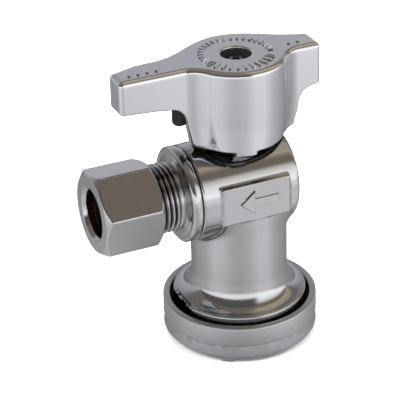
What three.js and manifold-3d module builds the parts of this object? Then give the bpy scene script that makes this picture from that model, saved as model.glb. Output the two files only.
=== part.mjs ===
// Quarter-turn angle stop valve: a push-on inlet for 15.9 mm pipe below, a ball chamber with the lever above,
// and a compression outlet for 9.5 mm tube to the side. Millimetres, +Z up along the inlet and the stem, and
// -X to the outlet.
import * as THREE from "three";
import { mergeVertices } from "three/addons/utils/BufferGeometryUtils.js";
import Module from "manifold-3d";

const wasm = await Module();
wasm.setup();

// ---------- driving dimensions ----------
const GAP = 0.3; // clearance between pieces that only rest on each other
const FINE = 32; // segments round a large turned piece
const COARSE = 20; // segments round a small one

const PIPE_RADIUS = 7.94; // inlet pipe, 5/8 in outside
const TUBE_RADIUS = 4.76; // outlet tube, 3/8 in outside
const PITCH = 25.4 / 24; // outlet thread, 24 turns an inch
const THREAD_RADIUS = 7.14; // 9/16 in outside
const THREAD_DEPTH = 0.64;

const LUG_HEIGHT = 1.0; // feet under the collar, which stand on z = 0
const COLLAR = { radius: 16.1, bore: 14.65, rim: 8.4, floor: 2.1, hole: 9.1, seat: 10.6, seatFloor: 1.6 };
const FLANGE = { radius: 13.9, bottom: 3.8, side: 9.3, top: 9.8, filletEnd: 15.2 };
const TUBE = { radius: 10, socket: PIPE_RADIUS + 0.21, stop: 24, throat: 6.4 };
const GLAND = { radius: 10.1, top: 9.95, step: 12.1, stepTop: 7.25 };

const BARREL = { z: 34.3, radius: 9.9, rear: -9.6, mouth: 11.9, chamber: 7.4, blind: -7.5 };
const PAD = { left: 8.1, right: -7.0, half: 4.15, face: 10.15 };
const BALL = { radius: 6.5, port: 3.3, slotWidth: 2.7, slotDepth: 2.2 };
const NECK = { radius: 5.4, top: 51.5, bore: 3.4, shoulderBore: 4.4, shoulderTop: 43.2 };
const STOP = { radius: 7.4, bottom: 45.6, top: 50.8, halfAngle: 21.5 };

const HANDLE = { top: 63, bottom: 45, hub: 10.2, long: 26.1, short: 17.3, cavity: 8, boss: 4.9, edge: 1.1 };
const WING = { front: -3.1, back: 4.5, shortFront: -3.3, shortBack: 3.9 }; // the arms' side walls
const HUB_STRAIGHT = 53; // the hub tapers below this height
const TOOTH = { from: -118, to: -88, bottom: 44.3, radius: 9.4 }; // lobe that hangs below the hub's front
const PIN = { x: -12.3, y: 0.6, radius: 1.5, bottom: 49.4, top: 56.9 }; // let into the long arm's underside
const RECESS = { radius: 3, floor: 59.3, webBottom: 57.9 };
const ADAPTER = {
  flange: 9.9, back: 12.1, front: 14.2, end: 26.8, neck: 7.15, inner: 8.25, bore: 3.3, tubeStop: 19.5,
  socket: TUBE_RADIUS + 0.19, mouth: 6.2,
};
const NUT = { back: 19.4, front: 32.1, flats: 16.2, corner: 12.8, bore: TUBE_RADIUS + 0.24 };

const FERRULE = { bore: TUBE_RADIUS + 0.1, radius: 5.85, back: 25.7, front: 29.3 };

const REACH = (NUT.front - HANDLE.short) / 2; // from the middle of the whole length to the stem

// ---------- materials ----------
const finish = (color, roughness, metalness) =>
  new THREE.MeshStandardMaterial({ color, roughness, metalness });
const chrome = finish(0xc4c6ca, 0.16, 1);
const satinChrome = finish(0xbfc0c5, 0.28, 1);
const brass = finish(0xb08d57, 0.35, 1);
const steel = finish(0x8a8a8c, 0.3, 1);
const ptfe = finish(0xf2f2ee, 0.6, 0);
const rubber = finish(0x151515, 0.8, 0);
const acetal = finish(0x9a9da0, 0.55, 0);

// ---------- solids ----------
function solid(geometry) {
  const bare = geometry.clone();
  bare.deleteAttribute("normal");
  bare.deleteAttribute("uv");
  const merged = mergeVertices(bare, 1e-4);
  return new wasm.Manifold(
    new wasm.Mesh({
      numProp: 3,
      vertProperties: merged.attributes.position.array,
      triVerts: new Uint32Array(merged.index.array),
    }),
  );
}

function geometryOf(body) {
  const mesh = body.getMesh();
  const position = new Float32Array(mesh.numVert * 3);
  for (let i = 0; i < mesh.numVert; i++) {
    position.set(mesh.vertProperties.subarray(i * mesh.numProp, i * mesh.numProp + 3), i * 3);
  }
  return new THREE.BufferGeometry()
    .setAttribute("position", new THREE.BufferAttribute(position, 3))
    .setIndex(new THREE.BufferAttribute(new Uint32Array(mesh.triVerts), 1));
}

function piece(name, body, material) {
  const mesh = new THREE.Mesh(geometryOf(body), material);
  mesh.name = name;
  return mesh;
}

// A turned piece about Z from [radius, height] points, counter-clockwise with the radius to the right.
function turned(profile, segments = FINE) {
  const points = [...profile, profile[0]].map(([radius, height]) => new THREE.Vector2(radius, height));
  return solid(new THREE.LatheGeometry(points, segments).rotateX(Math.PI / 2));
}

const rod = (radius, low, high, segments = FINE) =>
  turned([[0, low], [radius, low], [radius, high], [0, high]], segments);
const ring = (bore, radius, low, high, segments = FINE) =>
  turned([[bore, low], [radius, low], [radius, high], [bore, high]], segments);

function box(x0, x1, y0, y1, z0, z1) {
  const block = new THREE.BoxGeometry(x1 - x0, y1 - y0, z1 - z0);
  return solid(block.translate((x0 + x1) / 2, (y0 + y1) / 2, (z0 + z1) / 2));
}

function torus(radius, section, height, segments = COARSE) {
  return solid(new THREE.TorusGeometry(radius, section, 6, segments).translate(0, 0, height));
}

// An arc of [radius, height] points about a centre, in degrees; a second size makes it part of an ellipse.
function arc(centreRadius, centreHeight, size, from, to, steps, tall = size) {
  return Array.from({ length: steps + 1 }, (_, i) => {
    const angle = THREE.MathUtils.degToRad(from + ((to - from) * i) / steps);
    return [centreRadius + size * Math.cos(angle), centreHeight + tall * Math.sin(angle)];
  });
}

// A wedge of a ring between two angles in degrees.
function sector(bore, radius, low, high, from, to) {
  const shape = new THREE.Shape();
  const [a, b] = [from, to].map(THREE.MathUtils.degToRad);
  shape.absarc(0, 0, radius, a, b, false);
  shape.absarc(0, 0, bore, b, a, true);
  shape.closePath();
  const wedge = new THREE.ExtrudeGeometry(stepped(shape, 4), { depth: high - low, bevelEnabled: false });
  return solid(wedge.translate(0, 0, low));
}

// A right-handed V thread as a solid rod along Z, from low to high. Its turns start from Z = 0, so that
// a rod and a hole of the same pitch are always in step.
function threadedRod(crest, root, low, high, segments = 12) {
  const start = PITCH * (Math.floor(low / PITCH) - 2);
  const turns = Math.ceil((high - low) / PITCH) + 4;
  const steps = turns * segments;
  const positions = [];
  const indices = [];
  for (let i = 0; i <= steps + segments; i++) {
    const angle = (2 * Math.PI * i) / segments;
    for (const [radius, share] of [[root, 0], [crest, 0.5]]) {
      const height = start + PITCH * (i / segments + share - 1);
      positions.push(radius * Math.cos(angle), radius * Math.sin(angle), height);
    }
  }
  const low0 = (i) => 2 * i;
  const crest0 = (i) => 2 * i + 1;
  const high0 = (i) => 2 * (i + segments);
  for (let i = 0; i < steps; i++) {
    indices.push(low0(i), low0(i + 1), crest0(i + 1), low0(i), crest0(i + 1), crest0(i));
    indices.push(crest0(i), crest0(i + 1), high0(i + 1), crest0(i), high0(i + 1), high0(i));
  }
  const axisLow = positions.length / 3;
  positions.push(0, 0, start - 1.5 * PITCH);
  positions.push(0, 0, start + PITCH * (turns + 1.5));
  for (let i = 0; i < segments; i++) {
    indices.push(axisLow, low0(i + 1), low0(i));
    indices.push(axisLow + 1, low0(steps + i), low0(steps + i + 1));
  }
  indices.push(axisLow, low0(0), crest0(0), axisLow, crest0(0), high0(0));
  indices.push(axisLow + 1, crest0(steps), low0(steps), axisLow + 1, high0(steps), crest0(steps));
  const geometry = new THREE.BufferGeometry()
    .setAttribute("position", new THREE.Float32BufferAttribute(positions, 3))
    .setIndex(indices);
  return solid(geometry).intersect(rod(crest + 1, low, high, segments));
}

const polygon = (points) => new THREE.Shape(points.map(([x, y]) => new THREE.Vector2(x, y)));

// The same outline as straight steps, without the doubled points where two curves meet.
function stepped(shape, steps) {
  const points = shape.getPoints(steps);
  const next = (i) => points[(i + 1) % points.length];
  return new THREE.Shape(points.filter((point, i) => point.distanceTo(next(i)) > 0.01));
}

// A prism of an (x, z) outline, between two y values.
function sideCut(shape, y0, y1) {
  const prism = new THREE.ExtrudeGeometry(stepped(shape, 4), { depth: y1 - y0, bevelEnabled: false });
  return solid(prism.rotateX(Math.PI / 2).translate(0, y1, 0));
}

// Turns a piece made along +Z to lie along the outlet, which points to -X.
const towardsOutlet = (body) => body.rotate([0, -90, 0]).translate([0, 0, BARREL.z]);

// ---------- valve body ----------
function bodyShell() {
  const column = turned([
    [0, FLANGE.bottom],
    [FLANGE.radius - 0.5, FLANGE.bottom],
    [FLANGE.radius, FLANGE.bottom + 0.5],
    [FLANGE.radius, FLANGE.side],
    ...arc(FLANGE.radius - 0.3, FLANGE.filletEnd, FLANGE.radius - TUBE.radius - 0.3, 270, 180, 6,
      FLANGE.filletEnd - FLANGE.top),
    [TUBE.radius, BARREL.z],
    [0, BARREL.z],
  ]);
  const barrel = towardsOutlet(turned([
    [0, BARREL.rear],
    ...arc(BARREL.radius - 0.9, BARREL.rear + 0.9, 0.9, 270, 360, 3),
    [BARREL.radius, BARREL.mouth - 0.5],
    [BARREL.radius - 0.35, BARREL.mouth],
    [0, BARREL.mouth],
  ]));
  const pads = box(-PAD.left, -PAD.right, -PAD.face, PAD.face, BARREL.z - PAD.half, BARREL.z + PAD.half);
  return column.add(barrel).add(pads).add(rod(NECK.radius, BARREL.z + 8, NECK.top, COARSE));
}

// Raised arrow on the front pad that shows which way the water leaves.
function flowArrow() {
  const height = 0.35;
  const arrow = polygon([[-4.2, 0], [-1, 2.6], [-1, 0.9], [4.2, 0.9], [4.2, -0.9], [-1, -0.9], [-1, -2.6]]);
  return sideCut(arrow, -PAD.face - height, -PAD.face + height).translate([0, 0, BARREL.z]);
}

// One of the lobes that stop the lever, about an angle in degrees.
const stopLobe = (bore, radius, low, high, middle) =>
  sector(bore, radius, low, high, middle - STOP.halfAngle, middle + STOP.halfAngle);

function stopLobes() {
  const lobe = (middle) => stopLobe(NECK.radius - 1, STOP.radius, STOP.bottom, STOP.top, middle);
  return lobe(90).add(lobe(270));
}

function valveBody() {
  const gland = turned([
    [0, FLANGE.bottom - 1],
    [GLAND.step, FLANGE.bottom - 1],
    [GLAND.step, GLAND.stepTop],
    [GLAND.radius, GLAND.stepTop],
    [GLAND.radius, GLAND.top],
    [TUBE.socket + 0.4, GLAND.top],
    [TUBE.socket, GLAND.top + 0.4],
    [TUBE.socket, TUBE.stop],
    [TUBE.throat, TUBE.stop],
    [TUBE.throat, BARREL.z],
    [0, BARREL.z],
  ]);
  const chamber = towardsOutlet(turned([
    [0, BARREL.blind],
    [BARREL.chamber, BARREL.blind],
    [BARREL.chamber, BARREL.mouth - 1.3],
    [BARREL.chamber + 1.4, BARREL.mouth - 1.3],
    [BARREL.chamber + 1.4, BARREL.mouth + 1],
    [0, BARREL.mouth + 1],
  ]));
  const stemBore = rod(NECK.bore, BARREL.z, NECK.top + 1, COARSE)
    .add(rod(NECK.shoulderBore, BARREL.z, NECK.shoulderTop, COARSE));
  return bodyShell().add(flowArrow()).add(stopLobes()).subtract(gland).subtract(chamber).subtract(stemBore);
}

// ---------- ball, seats and stem ----------
function ball() {
  const sphere = solid(new THREE.SphereGeometry(BALL.radius, 24, 14).rotateX(Math.PI / 2))
    .translate([0, 0, BARREL.z]);
  const outletPort = towardsOutlet(rod(BALL.port, 0, BALL.radius + 1, 16));
  const inletPort = rod(BALL.port, BARREL.z - BALL.radius - 1, BARREL.z, 16);
  const elbow = solid(new THREE.SphereGeometry(BALL.port, 16, 8)).translate([0, 0, BARREL.z]);
  const top = BARREL.z + BALL.radius;
  const half = BALL.slotWidth / 2;
  const slot = box(-half, half, -BALL.radius, BALL.radius, top - BALL.slotDepth, top + 1);
  return sphere.subtract(outletPort.add(inletPort).add(elbow)).subtract(slot);
}

// A seat ring that hugs the ball: its cupped face is an arc just outside the ball.
function seat(back) {
  const hug = BALL.radius + 0.15;
  const lip = THREE.MathUtils.radToDeg(Math.asin(5.05 / hug));
  const mouth = THREE.MathUtils.radToDeg(Math.asin((BALL.port + 0.1) / hug));
  const cup = arc(0, 0, hug, 90 - lip, 90 - mouth, 4);
  return turned([...cup, [BALL.port + 0.1, back], [7.1, back], [7.1, cup[0][1]]].reverse(), COARSE);
}

const STEM = {
  radius: 3.1, shoulder: 4.1, shoulderLow: 41.3, shoulderHigh: 42.5, top: 57.6, root: 2.3, flat: 2.3,
};
const STEM_GROOVES = [45.4, 48.4];
const STEM_RING = { section: 0.5, width: 1.4 };

function stem() {
  const profile = [
    [0, STEM.shoulderLow], [STEM.shoulder, STEM.shoulderLow],
    [STEM.shoulder, STEM.shoulderHigh], [STEM.radius, STEM.shoulderHigh],
  ];
  for (const middle of STEM_GROOVES) {
    const [low, high] = [middle - STEM_RING.width / 2, middle + STEM_RING.width / 2];
    profile.push([STEM.radius, low], [STEM.root, low], [STEM.root, high], [STEM.radius, high]);
  }
  profile.push([STEM.radius, STEM.top - 0.4], [STEM.radius - 0.4, STEM.top], [0, STEM.top]);
  const flat = box(-5, 5, STEM.flat, 5, NECK.top + 0.3, STEM.top + 1);
  const tang = box(-1.1, 1.1, -3, 3, BARREL.z + BALL.radius - BALL.slotDepth + GAP, STEM.shoulderLow + 0.2);
  return turned(profile, COARSE).add(tang).subtract(flat).subtract(flat.rotate([0, 0, 180]))
    .subtract(rod(1.6, 50.5, STEM.top + 1, 20));
}

// ---------- lever handle ----------
function leverPlan() {
  const on = (degrees) => {
    const angle = THREE.MathUtils.degToRad(degrees);
    return [HANDLE.hub * Math.cos(angle), HANDLE.hub * Math.sin(angle)];
  };
  const quarter = Math.PI / 2;
  const hubArc = (from, to) =>
    shape.absarc(0, 0, HANDLE.hub, THREE.MathUtils.degToRad(from), THREE.MathUtils.degToRad(to), false);
  const round = 1.3;
  const shape = new THREE.Shape();
  shape.absarc(round - HANDLE.long, WING.front + round, round, 2 * quarter, 3 * quarter, false);
  shape.lineTo(-13.5, WING.front);
  shape.quadraticCurveTo(-9.6, WING.front, ...on(218));
  hubArc(218, 325);
  shape.quadraticCurveTo(9.6, WING.shortFront, 12.6, WING.shortFront);
  shape.absarc(HANDLE.short - round, WING.shortFront + round, round, 3 * quarter, 4 * quarter, false);
  shape.absarc(HANDLE.short - round, WING.shortBack - 0.7 - round, round, 0, quarter, false);
  shape.lineTo(13.2, WING.shortBack);
  shape.quadraticCurveTo(10.2, WING.shortBack + 0.3, ...on(38));
  hubArc(38, 142);
  shape.quadraticCurveTo(-9.6, WING.back + 0.1, -14, WING.back);
  shape.lineTo(-20.5, WING.back - 0.3);
  shape.lineTo(-24.6, WING.back - 1.6);
  shape.absarc(round - HANDLE.long, WING.back - 2.1 - round, round, quarter, 2 * quarter, false);
  shape.closePath();
  return shape;
}

function leverSide() {
  const high = HANDLE.top + 1;
  const web = HANDLE.bottom + 0.8;
  const blendRadius = 8; // the arms' blends into the hub start here
  const shape = new THREE.Shape();
  shape.moveTo(-HANDLE.long - 1, high);
  shape.lineTo(-HANDLE.long - 1, 55.6);
  shape.lineTo(-16, 54.8);
  shape.quadraticCurveTo(-11.6, 54.3, -10.6, HUB_STRAIGHT);
  shape.lineTo(blendRadius, HUB_STRAIGHT);
  shape.lineTo(blendRadius, web);
  shape.lineTo(11.2, web);
  shape.lineTo(12.3, 49);
  shape.quadraticCurveTo(12.8, 53.4, 16.2, 53.6);
  shape.lineTo(HANDLE.short + 1, 54);
  shape.lineTo(HANDLE.short + 1, high);
  shape.closePath();
  return shape;
}

// The wall that sweeps from under the long arm's front down the hub.
function webSide() {
  const shape = new THREE.Shape();
  shape.moveTo(-16, 58);
  shape.lineTo(-16, 54.8);
  shape.quadraticCurveTo(-12.8, 54.4, -12.1, 51.2);
  shape.lineTo(-11.1, HANDLE.bottom + 1.4);
  shape.lineTo(-10.5, HANDLE.bottom + 0.8);
  shape.lineTo(-8, HANDLE.bottom + 0.8);
  shape.lineTo(-8, 58);
  shape.closePath();
  return shape;
}

function leverShell() {
  const { edge, hub, bottom, top } = HANDLE;
  const plan = new THREE.ExtrudeGeometry(stepped(leverPlan(), 6), {
    depth: top - bottom - 2 * edge,
    bevelThickness: edge,
    bevelSize: edge,
    bevelOffset: -edge,
    bevelSegments: 2,
  }).translate(0, 0, bottom + edge);
  const cone = turned([
    [0, bottom], [hub - 1.1, bottom], [hub - 0.75, bottom + 0.3], [hub - 0.2, 49.5],
    [hub - 0.05, HUB_STRAIGHT], [hub - 0.05, top - 3], [0, top - 3],
  ]);
  const side = sideCut(leverSide(), -14, 14).add(sideCut(webSide(), -14, -1.5));
  return solid(plan).intersect(side).add(cone);
}

function leverHandle() {
  const hollow = ring(HANDLE.boss, HANDLE.cavity, HANDLE.bottom - 1, 57.5, COARSE)
    .add(rod(HANDLE.boss + 1, HANDLE.bottom - 1, NECK.top + 0.4, COARSE));
  const lobe = (middle) => stopLobe(NECK.radius + 0.4, HANDLE.cavity + 0.5, STOP.bottom + 0.6, 58, middle);
  const { radius, bottom, from, to } = TOOTH;
  const tooth = sector(HANDLE.cavity + 0.2, radius, bottom, HANDLE.bottom + 1, from, to);
  const stemHole = rod(STEM.radius + 0.25, 40, RECESS.webBottom, COARSE)
    .intersect(box(-5, 5, -STEM.flat - 0.25, STEM.flat + 0.25, 40, 70));
  const pinHole = rod(PIN.radius + GAP, PIN.bottom, PIN.top + 0.4, COARSE).translate([PIN.x, PIN.y, 0]);
  return leverShell().subtract(pinHole).subtract(hollow).add(lobe(45)).add(lobe(225)).add(tooth)
    .subtract(stemHole).subtract(rod(1.8, 50, RECESS.floor + 1, 20))
    .subtract(rod(RECESS.radius, RECESS.floor, HANDLE.top + 1, COARSE));
}

const SCREW = { shank: 1.42, tip: 52.4, head: 2.7, seat: RECESS.floor + 0.55, top: RECESS.floor + 2.4 };

function handleScrew() {
  const body = turned([
    [0, SCREW.tip], [1.0, SCREW.tip], [SCREW.shank, SCREW.tip + 0.5], [SCREW.shank, SCREW.seat],
    [SCREW.head, SCREW.seat], [SCREW.head, SCREW.top - 0.7], [SCREW.head - 0.5, SCREW.top - 0.15],
    [0, SCREW.top],
  ], 24);
  const bar = box(-1.5, 1.5, -0.35, 0.35, SCREW.top - 1.1, SCREW.top + 1);
  return body.subtract(bar.add(bar.rotate([0, 0, 90])).rotate([0, 0, 20]));
}

function stopPin() {
  const { radius, bottom, top } = PIN;
  const profile = [[0, bottom], [radius - 0.7, bottom], [radius, bottom + 0.7], [radius, top], [0, top]];
  return turned(profile, COARSE).translate([PIN.x, PIN.y, 0]);
}

function lockWasher() {
  return ring(1.75, SCREW.head - 0.05, RECESS.floor + 0.02, RECESS.floor + 0.5, 28)
    .subtract(box(1, 3, -0.35, 0.35, RECESS.floor - 1, RECESS.floor + 1).rotate([0, 0, -35]));
}

// ---------- outlet, made along +Z and then turned to -X ----------
function adapter() {
  const { flange, back, front, end, neck, inner, bore, tubeStop, socket, mouth } = ADAPTER;
  const blank = turned([
    [0, inner], [neck, inner], [neck, back], [flange - 0.3, back], [flange, back + 0.3],
    [flange, front - 0.4], [flange - 0.4, front], [0, front],
  ]);
  const chamfer = turned([
    [0, front - 1], [8, front - 1], [8, end - 1.3], [THREAD_RADIUS - 0.7, end + 0.1], [0, end + 0.1],
  ], COARSE);
  const root = THREAD_RADIUS - THREAD_DEPTH;
  const thread = threadedRod(THREAD_RADIUS, root, front - 0.2, end).intersect(chamfer);
  const waterway = turned([
    [0, inner - 1], [bore, inner - 1], [bore, tubeStop], [socket, tubeStop], [socket, end - 1.9],
    [mouth, end], [mouth, end + 1], [0, end + 1],
  ], COARSE);
  return blank.add(thread).subtract(waterway);
}

function nut() {
  const { back, front, bore } = NUT;
  const half = NUT.flats / 2;
  const corner = NUT.flats / Math.sqrt(3);
  const hexagon = new THREE.CylinderGeometry(corner, corner, front - back, 6)
    .rotateX(Math.PI / 2)
    .rotateZ(THREE.MathUtils.degToRad(NUT.corner))
    .translate(0, 0, (front + back) / 2);
  const rounded = turned([
    [0, back], [half - 0.2, back], [half + 2, back + 1.9], [half + 2, front - 1.6], [half - 0.2, front],
    [0, front],
  ]);
  const minor = THREAD_RADIUS - 0.2;
  const hole = turned([
    [0, back - 1], [8.5, back - 1], [minor, back + 0.7], [minor, front - 4.3], [bore + 1.3, front - 3.6],
    [bore, front - 2.5], [bore, front - 0.35], [bore + 0.35, front], [bore + 0.35, front + 1], [0, front + 1],
  ], COARSE);
  const relief = rod(THREAD_RADIUS + GAP, front - 5.2, front - 4.2, COARSE);
  const crest = THREAD_RADIUS + GAP + 0.05;
  const thread = threadedRod(crest, crest - THREAD_DEPTH, back - 0.5, front - 4.6);
  return solid(hexagon).intersect(rounded).subtract(hole).subtract(thread).subtract(relief);
}

function sleeve() {
  const { bore, radius, back, front } = FERRULE;
  return turned([
    [bore, back], [bore + 0.25, back], [radius, back + 1.5], [radius, front - 0.9], [bore + 0.45, front],
    [bore, front],
  ], COARSE);
}

// ---------- push-on inlet ----------
function releaseCollar() {
  const cup = turned([
    [COLLAR.hole, LUG_HEIGHT], [COLLAR.radius - 0.8, LUG_HEIGHT], [COLLAR.radius, LUG_HEIGHT + 0.8],
    [COLLAR.radius, COLLAR.rim - 0.4], [COLLAR.radius - 0.4, COLLAR.rim], [COLLAR.bore + 0.2, COLLAR.rim],
    [COLLAR.bore, COLLAR.rim - 0.2], [COLLAR.bore, COLLAR.floor], [COLLAR.seat, COLLAR.floor],
    [COLLAR.seat, COLLAR.seatFloor], [COLLAR.hole, COLLAR.seatFloor],
  ]);
  const lug = box(12.4, 15.4, -1.35, 1.35, 0, LUG_HEIGHT + 0.3);
  return [55, 145, 235, 325].reduce((all, angle) => all.add(lug.rotate([0, 0, angle])), cup);
}

const SLEEVE = { bore: 8.2, radius: 8.8, lip: 9.55, foot: 10.3, low: 1.7, high: 5.45 };

function releaseSleeve() {
  return turned([
    [SLEEVE.bore, SLEEVE.low], [SLEEVE.foot, SLEEVE.low], [SLEEVE.foot, SLEEVE.low + 0.7],
    [SLEEVE.radius, SLEEVE.low + 0.7], [SLEEVE.radius, SLEEVE.high - 0.6], [SLEEVE.lip, SLEEVE.high - 0.6],
    [SLEEVE.radius + 0.3, SLEEVE.high],
    [SLEEVE.bore, SLEEVE.high],
  ], COARSE);
}

function inletRetainer() {
  return turned([
    [SLEEVE.radius + GAP, 3.9], [11.6, 3.9], [11.9, 4.2], [11.9, 6.65], [SLEEVE.lip + GAP, 6.65],
    [SLEEVE.lip + GAP, 4.6], [SLEEVE.radius + GAP, 4.6],
  ], COARSE);
}

function grabRing() {
  const teeth = 12;
  const washer = turned([
    [8.1, 7.3], [9.3, 6.75], [11.8, 6.75], [11.8, 7.1], [9.4, 7.1], [8.25, 7.62],
  ], COARSE);
  const slot = box(7, 9.6, -0.4, 0.4, 6, 8);
  return Array.from({ length: teeth }, (_, i) => slot.rotate([0, 0, (360 * i) / teeth]))
    .reduce((left, cut) => left.subtract(cut), washer);
}

function backupRing() {
  return turned([[8.4, 7.75], [9.5, 7.35], [10, 7.35], [10, 8], [8.4, 8]], COARSE);
}

// ---------- assembly ----------
const valve = new THREE.Group();
valve.position.x = REACH;
valve.add(
  piece("valve_body", valveBody(), chrome),
  piece("valve_ball", ball(), chrome),
  piece("outlet_seat", towardsOutlet(seat(8.1)), ptfe),
  piece("rear_seat", towardsOutlet(seat(7.3)).rotate([0, 0, 180]), ptfe),
  piece("valve_stem", stem(), brass),
  piece("stem_thrust_washer", ring(STEM.radius + 0.15, 4.25, 42.6, 43.1, COARSE), ptfe),
  piece("stem_o_ring_lower", torus(STEM.root + 0.55, STEM_RING.section, STEM_GROOVES[0]), rubber),
  piece("stem_o_ring_upper", torus(STEM.root + 0.55, STEM_RING.section, STEM_GROOVES[1]), rubber),
  piece("lever_handle", leverHandle(), satinChrome),
  piece("stop_pin", stopPin(), rubber),
  piece("handle_screw", handleScrew(), steel),
  piece("handle_lock_washer", lockWasher(), steel),
  piece("outlet_adapter", towardsOutlet(adapter()), chrome),
  piece("adapter_o_ring", towardsOutlet(torus(7.98, 0.6, 11.3)), rubber),
  piece("compression_nut", towardsOutlet(nut()), chrome),
  piece("compression_sleeve", towardsOutlet(sleeve()), brass),
  piece("release_collar", releaseCollar(), chrome),
  piece("release_sleeve", releaseSleeve(), acetal),
  piece("inlet_retainer", inletRetainer(), brass),
  piece("grab_ring", grabRing(), steel),
  piece("inlet_backup_ring", backupRing(), acetal),
  piece("inlet_o_ring", torus(9.05, 0.9, 8.98, COARSE), rubber),
);

const part = new THREE.Group();
part.add(valve);
export default part;
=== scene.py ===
"""Fine surfaces and finishes of a chrome-plated angle stop valve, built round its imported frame.

Shapes are worked out in millimetres about the stem's axis, with z = 0 at the feet, and become metres in
the frame when a piece is placed. Cast pieces are fields of signed distance, turned pieces are profiles
spun round an axis, and threads, teeth, feet and marks are made by Geometry Nodes.
"""

import math
from types import SimpleNamespace

import bpy
import numpy as np
import openvdb
from bpy.props import FloatProperty, FloatVectorProperty, IntProperty, PointerProperty
from mathutils import Matrix, Vector


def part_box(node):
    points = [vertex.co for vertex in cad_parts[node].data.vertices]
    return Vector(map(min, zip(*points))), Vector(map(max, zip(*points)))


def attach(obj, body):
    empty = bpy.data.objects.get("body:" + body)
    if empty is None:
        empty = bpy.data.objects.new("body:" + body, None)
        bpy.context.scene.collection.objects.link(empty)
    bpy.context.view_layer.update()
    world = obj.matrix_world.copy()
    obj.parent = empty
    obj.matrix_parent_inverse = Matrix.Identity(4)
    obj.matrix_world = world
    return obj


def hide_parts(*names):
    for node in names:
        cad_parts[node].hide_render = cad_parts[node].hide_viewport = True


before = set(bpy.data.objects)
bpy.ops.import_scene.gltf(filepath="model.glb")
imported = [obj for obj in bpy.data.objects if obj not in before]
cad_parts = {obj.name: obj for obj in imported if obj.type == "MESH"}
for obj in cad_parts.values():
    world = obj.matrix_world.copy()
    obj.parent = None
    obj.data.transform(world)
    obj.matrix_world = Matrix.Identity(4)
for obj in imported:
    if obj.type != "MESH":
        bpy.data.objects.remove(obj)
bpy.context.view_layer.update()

bl_info = {
    "name": "Angle Stop Valve",
    "version": (1, 0, 0),
    "blender": (4, 5, 0),
    "location": "View3D > Sidebar > Valve",
    "description": "Builds the visible pieces and finishes of a quarter-turn angle stop valve",
    "category": "Object",
}

MM = 0.001


def centre_of(node):
    """The middle of a frame node, in millimetres."""
    low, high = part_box(node)
    return (low + high) / 2 / MM


STEM_X = centre_of("valve_stem").x
OUTLET_Z = centre_of("compression_nut").z
TOP_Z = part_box("lever_handle")[1].z / MM
TO_STEM = Matrix.Translation((STEM_X, 0, 0))
TO_OUTLET = Matrix.Translation((STEM_X, 0, OUTLET_Z)) @ Matrix.Rotation(-math.pi / 2, 4, "Y")


# ---------- settings ----------
def length(name, description, millimetres):
    """A length property whose default is given in millimetres."""
    return FloatProperty(name=name, description=description, default=millimetres * MM, min=0, precision=5,
                         unit="LENGTH")


def angle(name, description, degrees):
    """An angle property whose default is given in degrees."""
    return FloatProperty(name=name, description=description, default=math.radians(degrees), unit="ROTATION")


def colour(name, description, value):
    """A colour property."""
    return FloatVectorProperty(name=name, description=description, default=value, size=3, min=0, max=1,
                               subtype="COLOR")


def share(name, description, value):
    """A property from 0 to 1."""
    return FloatProperty(name=name, description=description, default=value, min=0, max=1, subtype="FACTOR")


class VALVE_PG_body(bpy.types.PropertyGroup):
    """Sizes of the cast body."""

    tube: length("Tube radius", "Outside radius of the inlet column", 10)
    flange: length("Flange radius", "Outside radius of the foot flange", 13.9)
    flange_low: length("Flange underside", "Height of the flange's underside", 3.8)
    flange_high: length("Flange top", "Height of the flange's top face", 9.8)
    fillet_end: length("Fillet end", "Height at which the flange's fillet meets the column", 15.2)
    barrel: length("Barrel radius", "Outside radius of the outlet barrel", 9.9)
    barrel_rear: length("Barrel rear", "Reach of the barrel's closed end behind the stem", 9.6)
    barrel_mouth: length("Barrel mouth", "Reach of the barrel's open end", 11.9)
    socket: length("Socket radius", "Bore that takes the inlet pipe", 8.15)
    pad_height: length("Pad height", "Height of the two flat wrench pads", 8.3)
    pad_face: length("Pad face", "Distance from the stem to a pad's face", 10.15)
    neck: length("Neck radius", "Outside radius of the stem's neck", 5.4)
    neck_top: length("Neck top", "Height of the neck's end", 51.5)
    detail: length("Body detail", "Grid step of the body's surface", 0.3)


class VALVE_PG_lever(bpy.types.PropertyGroup):
    """Sizes of the lever handle and its screw."""

    hub: length("Hub radius", "Radius of the lever's hub", 10.2)
    long_arm: length("Long arm", "Reach of the long arm from the stem", 26.1)
    short_arm: length("Short arm", "Reach of the short arm from the stem", 17.3)
    bottom: length("Hub underside", "Height of the hub's lower edge", 45)
    edge: length("Edge radius", "Rounding of the top edge", 1.15)
    mark_height: length("Mark height", "How far the marks stand above the top face", 0.3)
    recess: length("Recess radius", "Radius of the screw's recess", 3.1)
    screw_head: length("Screw head radius", "Radius of the pan head", 2.7)
    detail: length("Lever detail", "Grid step of the lever's surface", 0.23)
    back_ticks: IntProperty(name="Back ticks", description="Strokes round the hub's back", default=19, min=2)
    ticks: IntProperty(name="Ticks", description="Strokes of the scale round the hub", default=11, min=2)


class VALVE_PG_outlet(bpy.types.PropertyGroup):
    """Sizes of the compression outlet."""

    flange: length("Seat flange radius", "Radius of the adapter's flange", 9.9)
    thread: length("Thread radius", "Outside radius of the thread", 7.14)
    depth: length("Thread depth", "Depth of the thread", 0.64)
    pitch: length("Thread pitch", "Advance of the thread in one turn", 25.4 / 24)
    flats: length("Nut size", "Distance across the nut's flats", 16.2)
    tube: length("Tube bore", "Radius of the nut's bore for the tube", 5)
    corner: angle("Nut angle", "Turn of the nut about the outlet", 12.8)
    detail: length("Nut detail", "Grid step of the nut's surface", 0.165)


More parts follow.
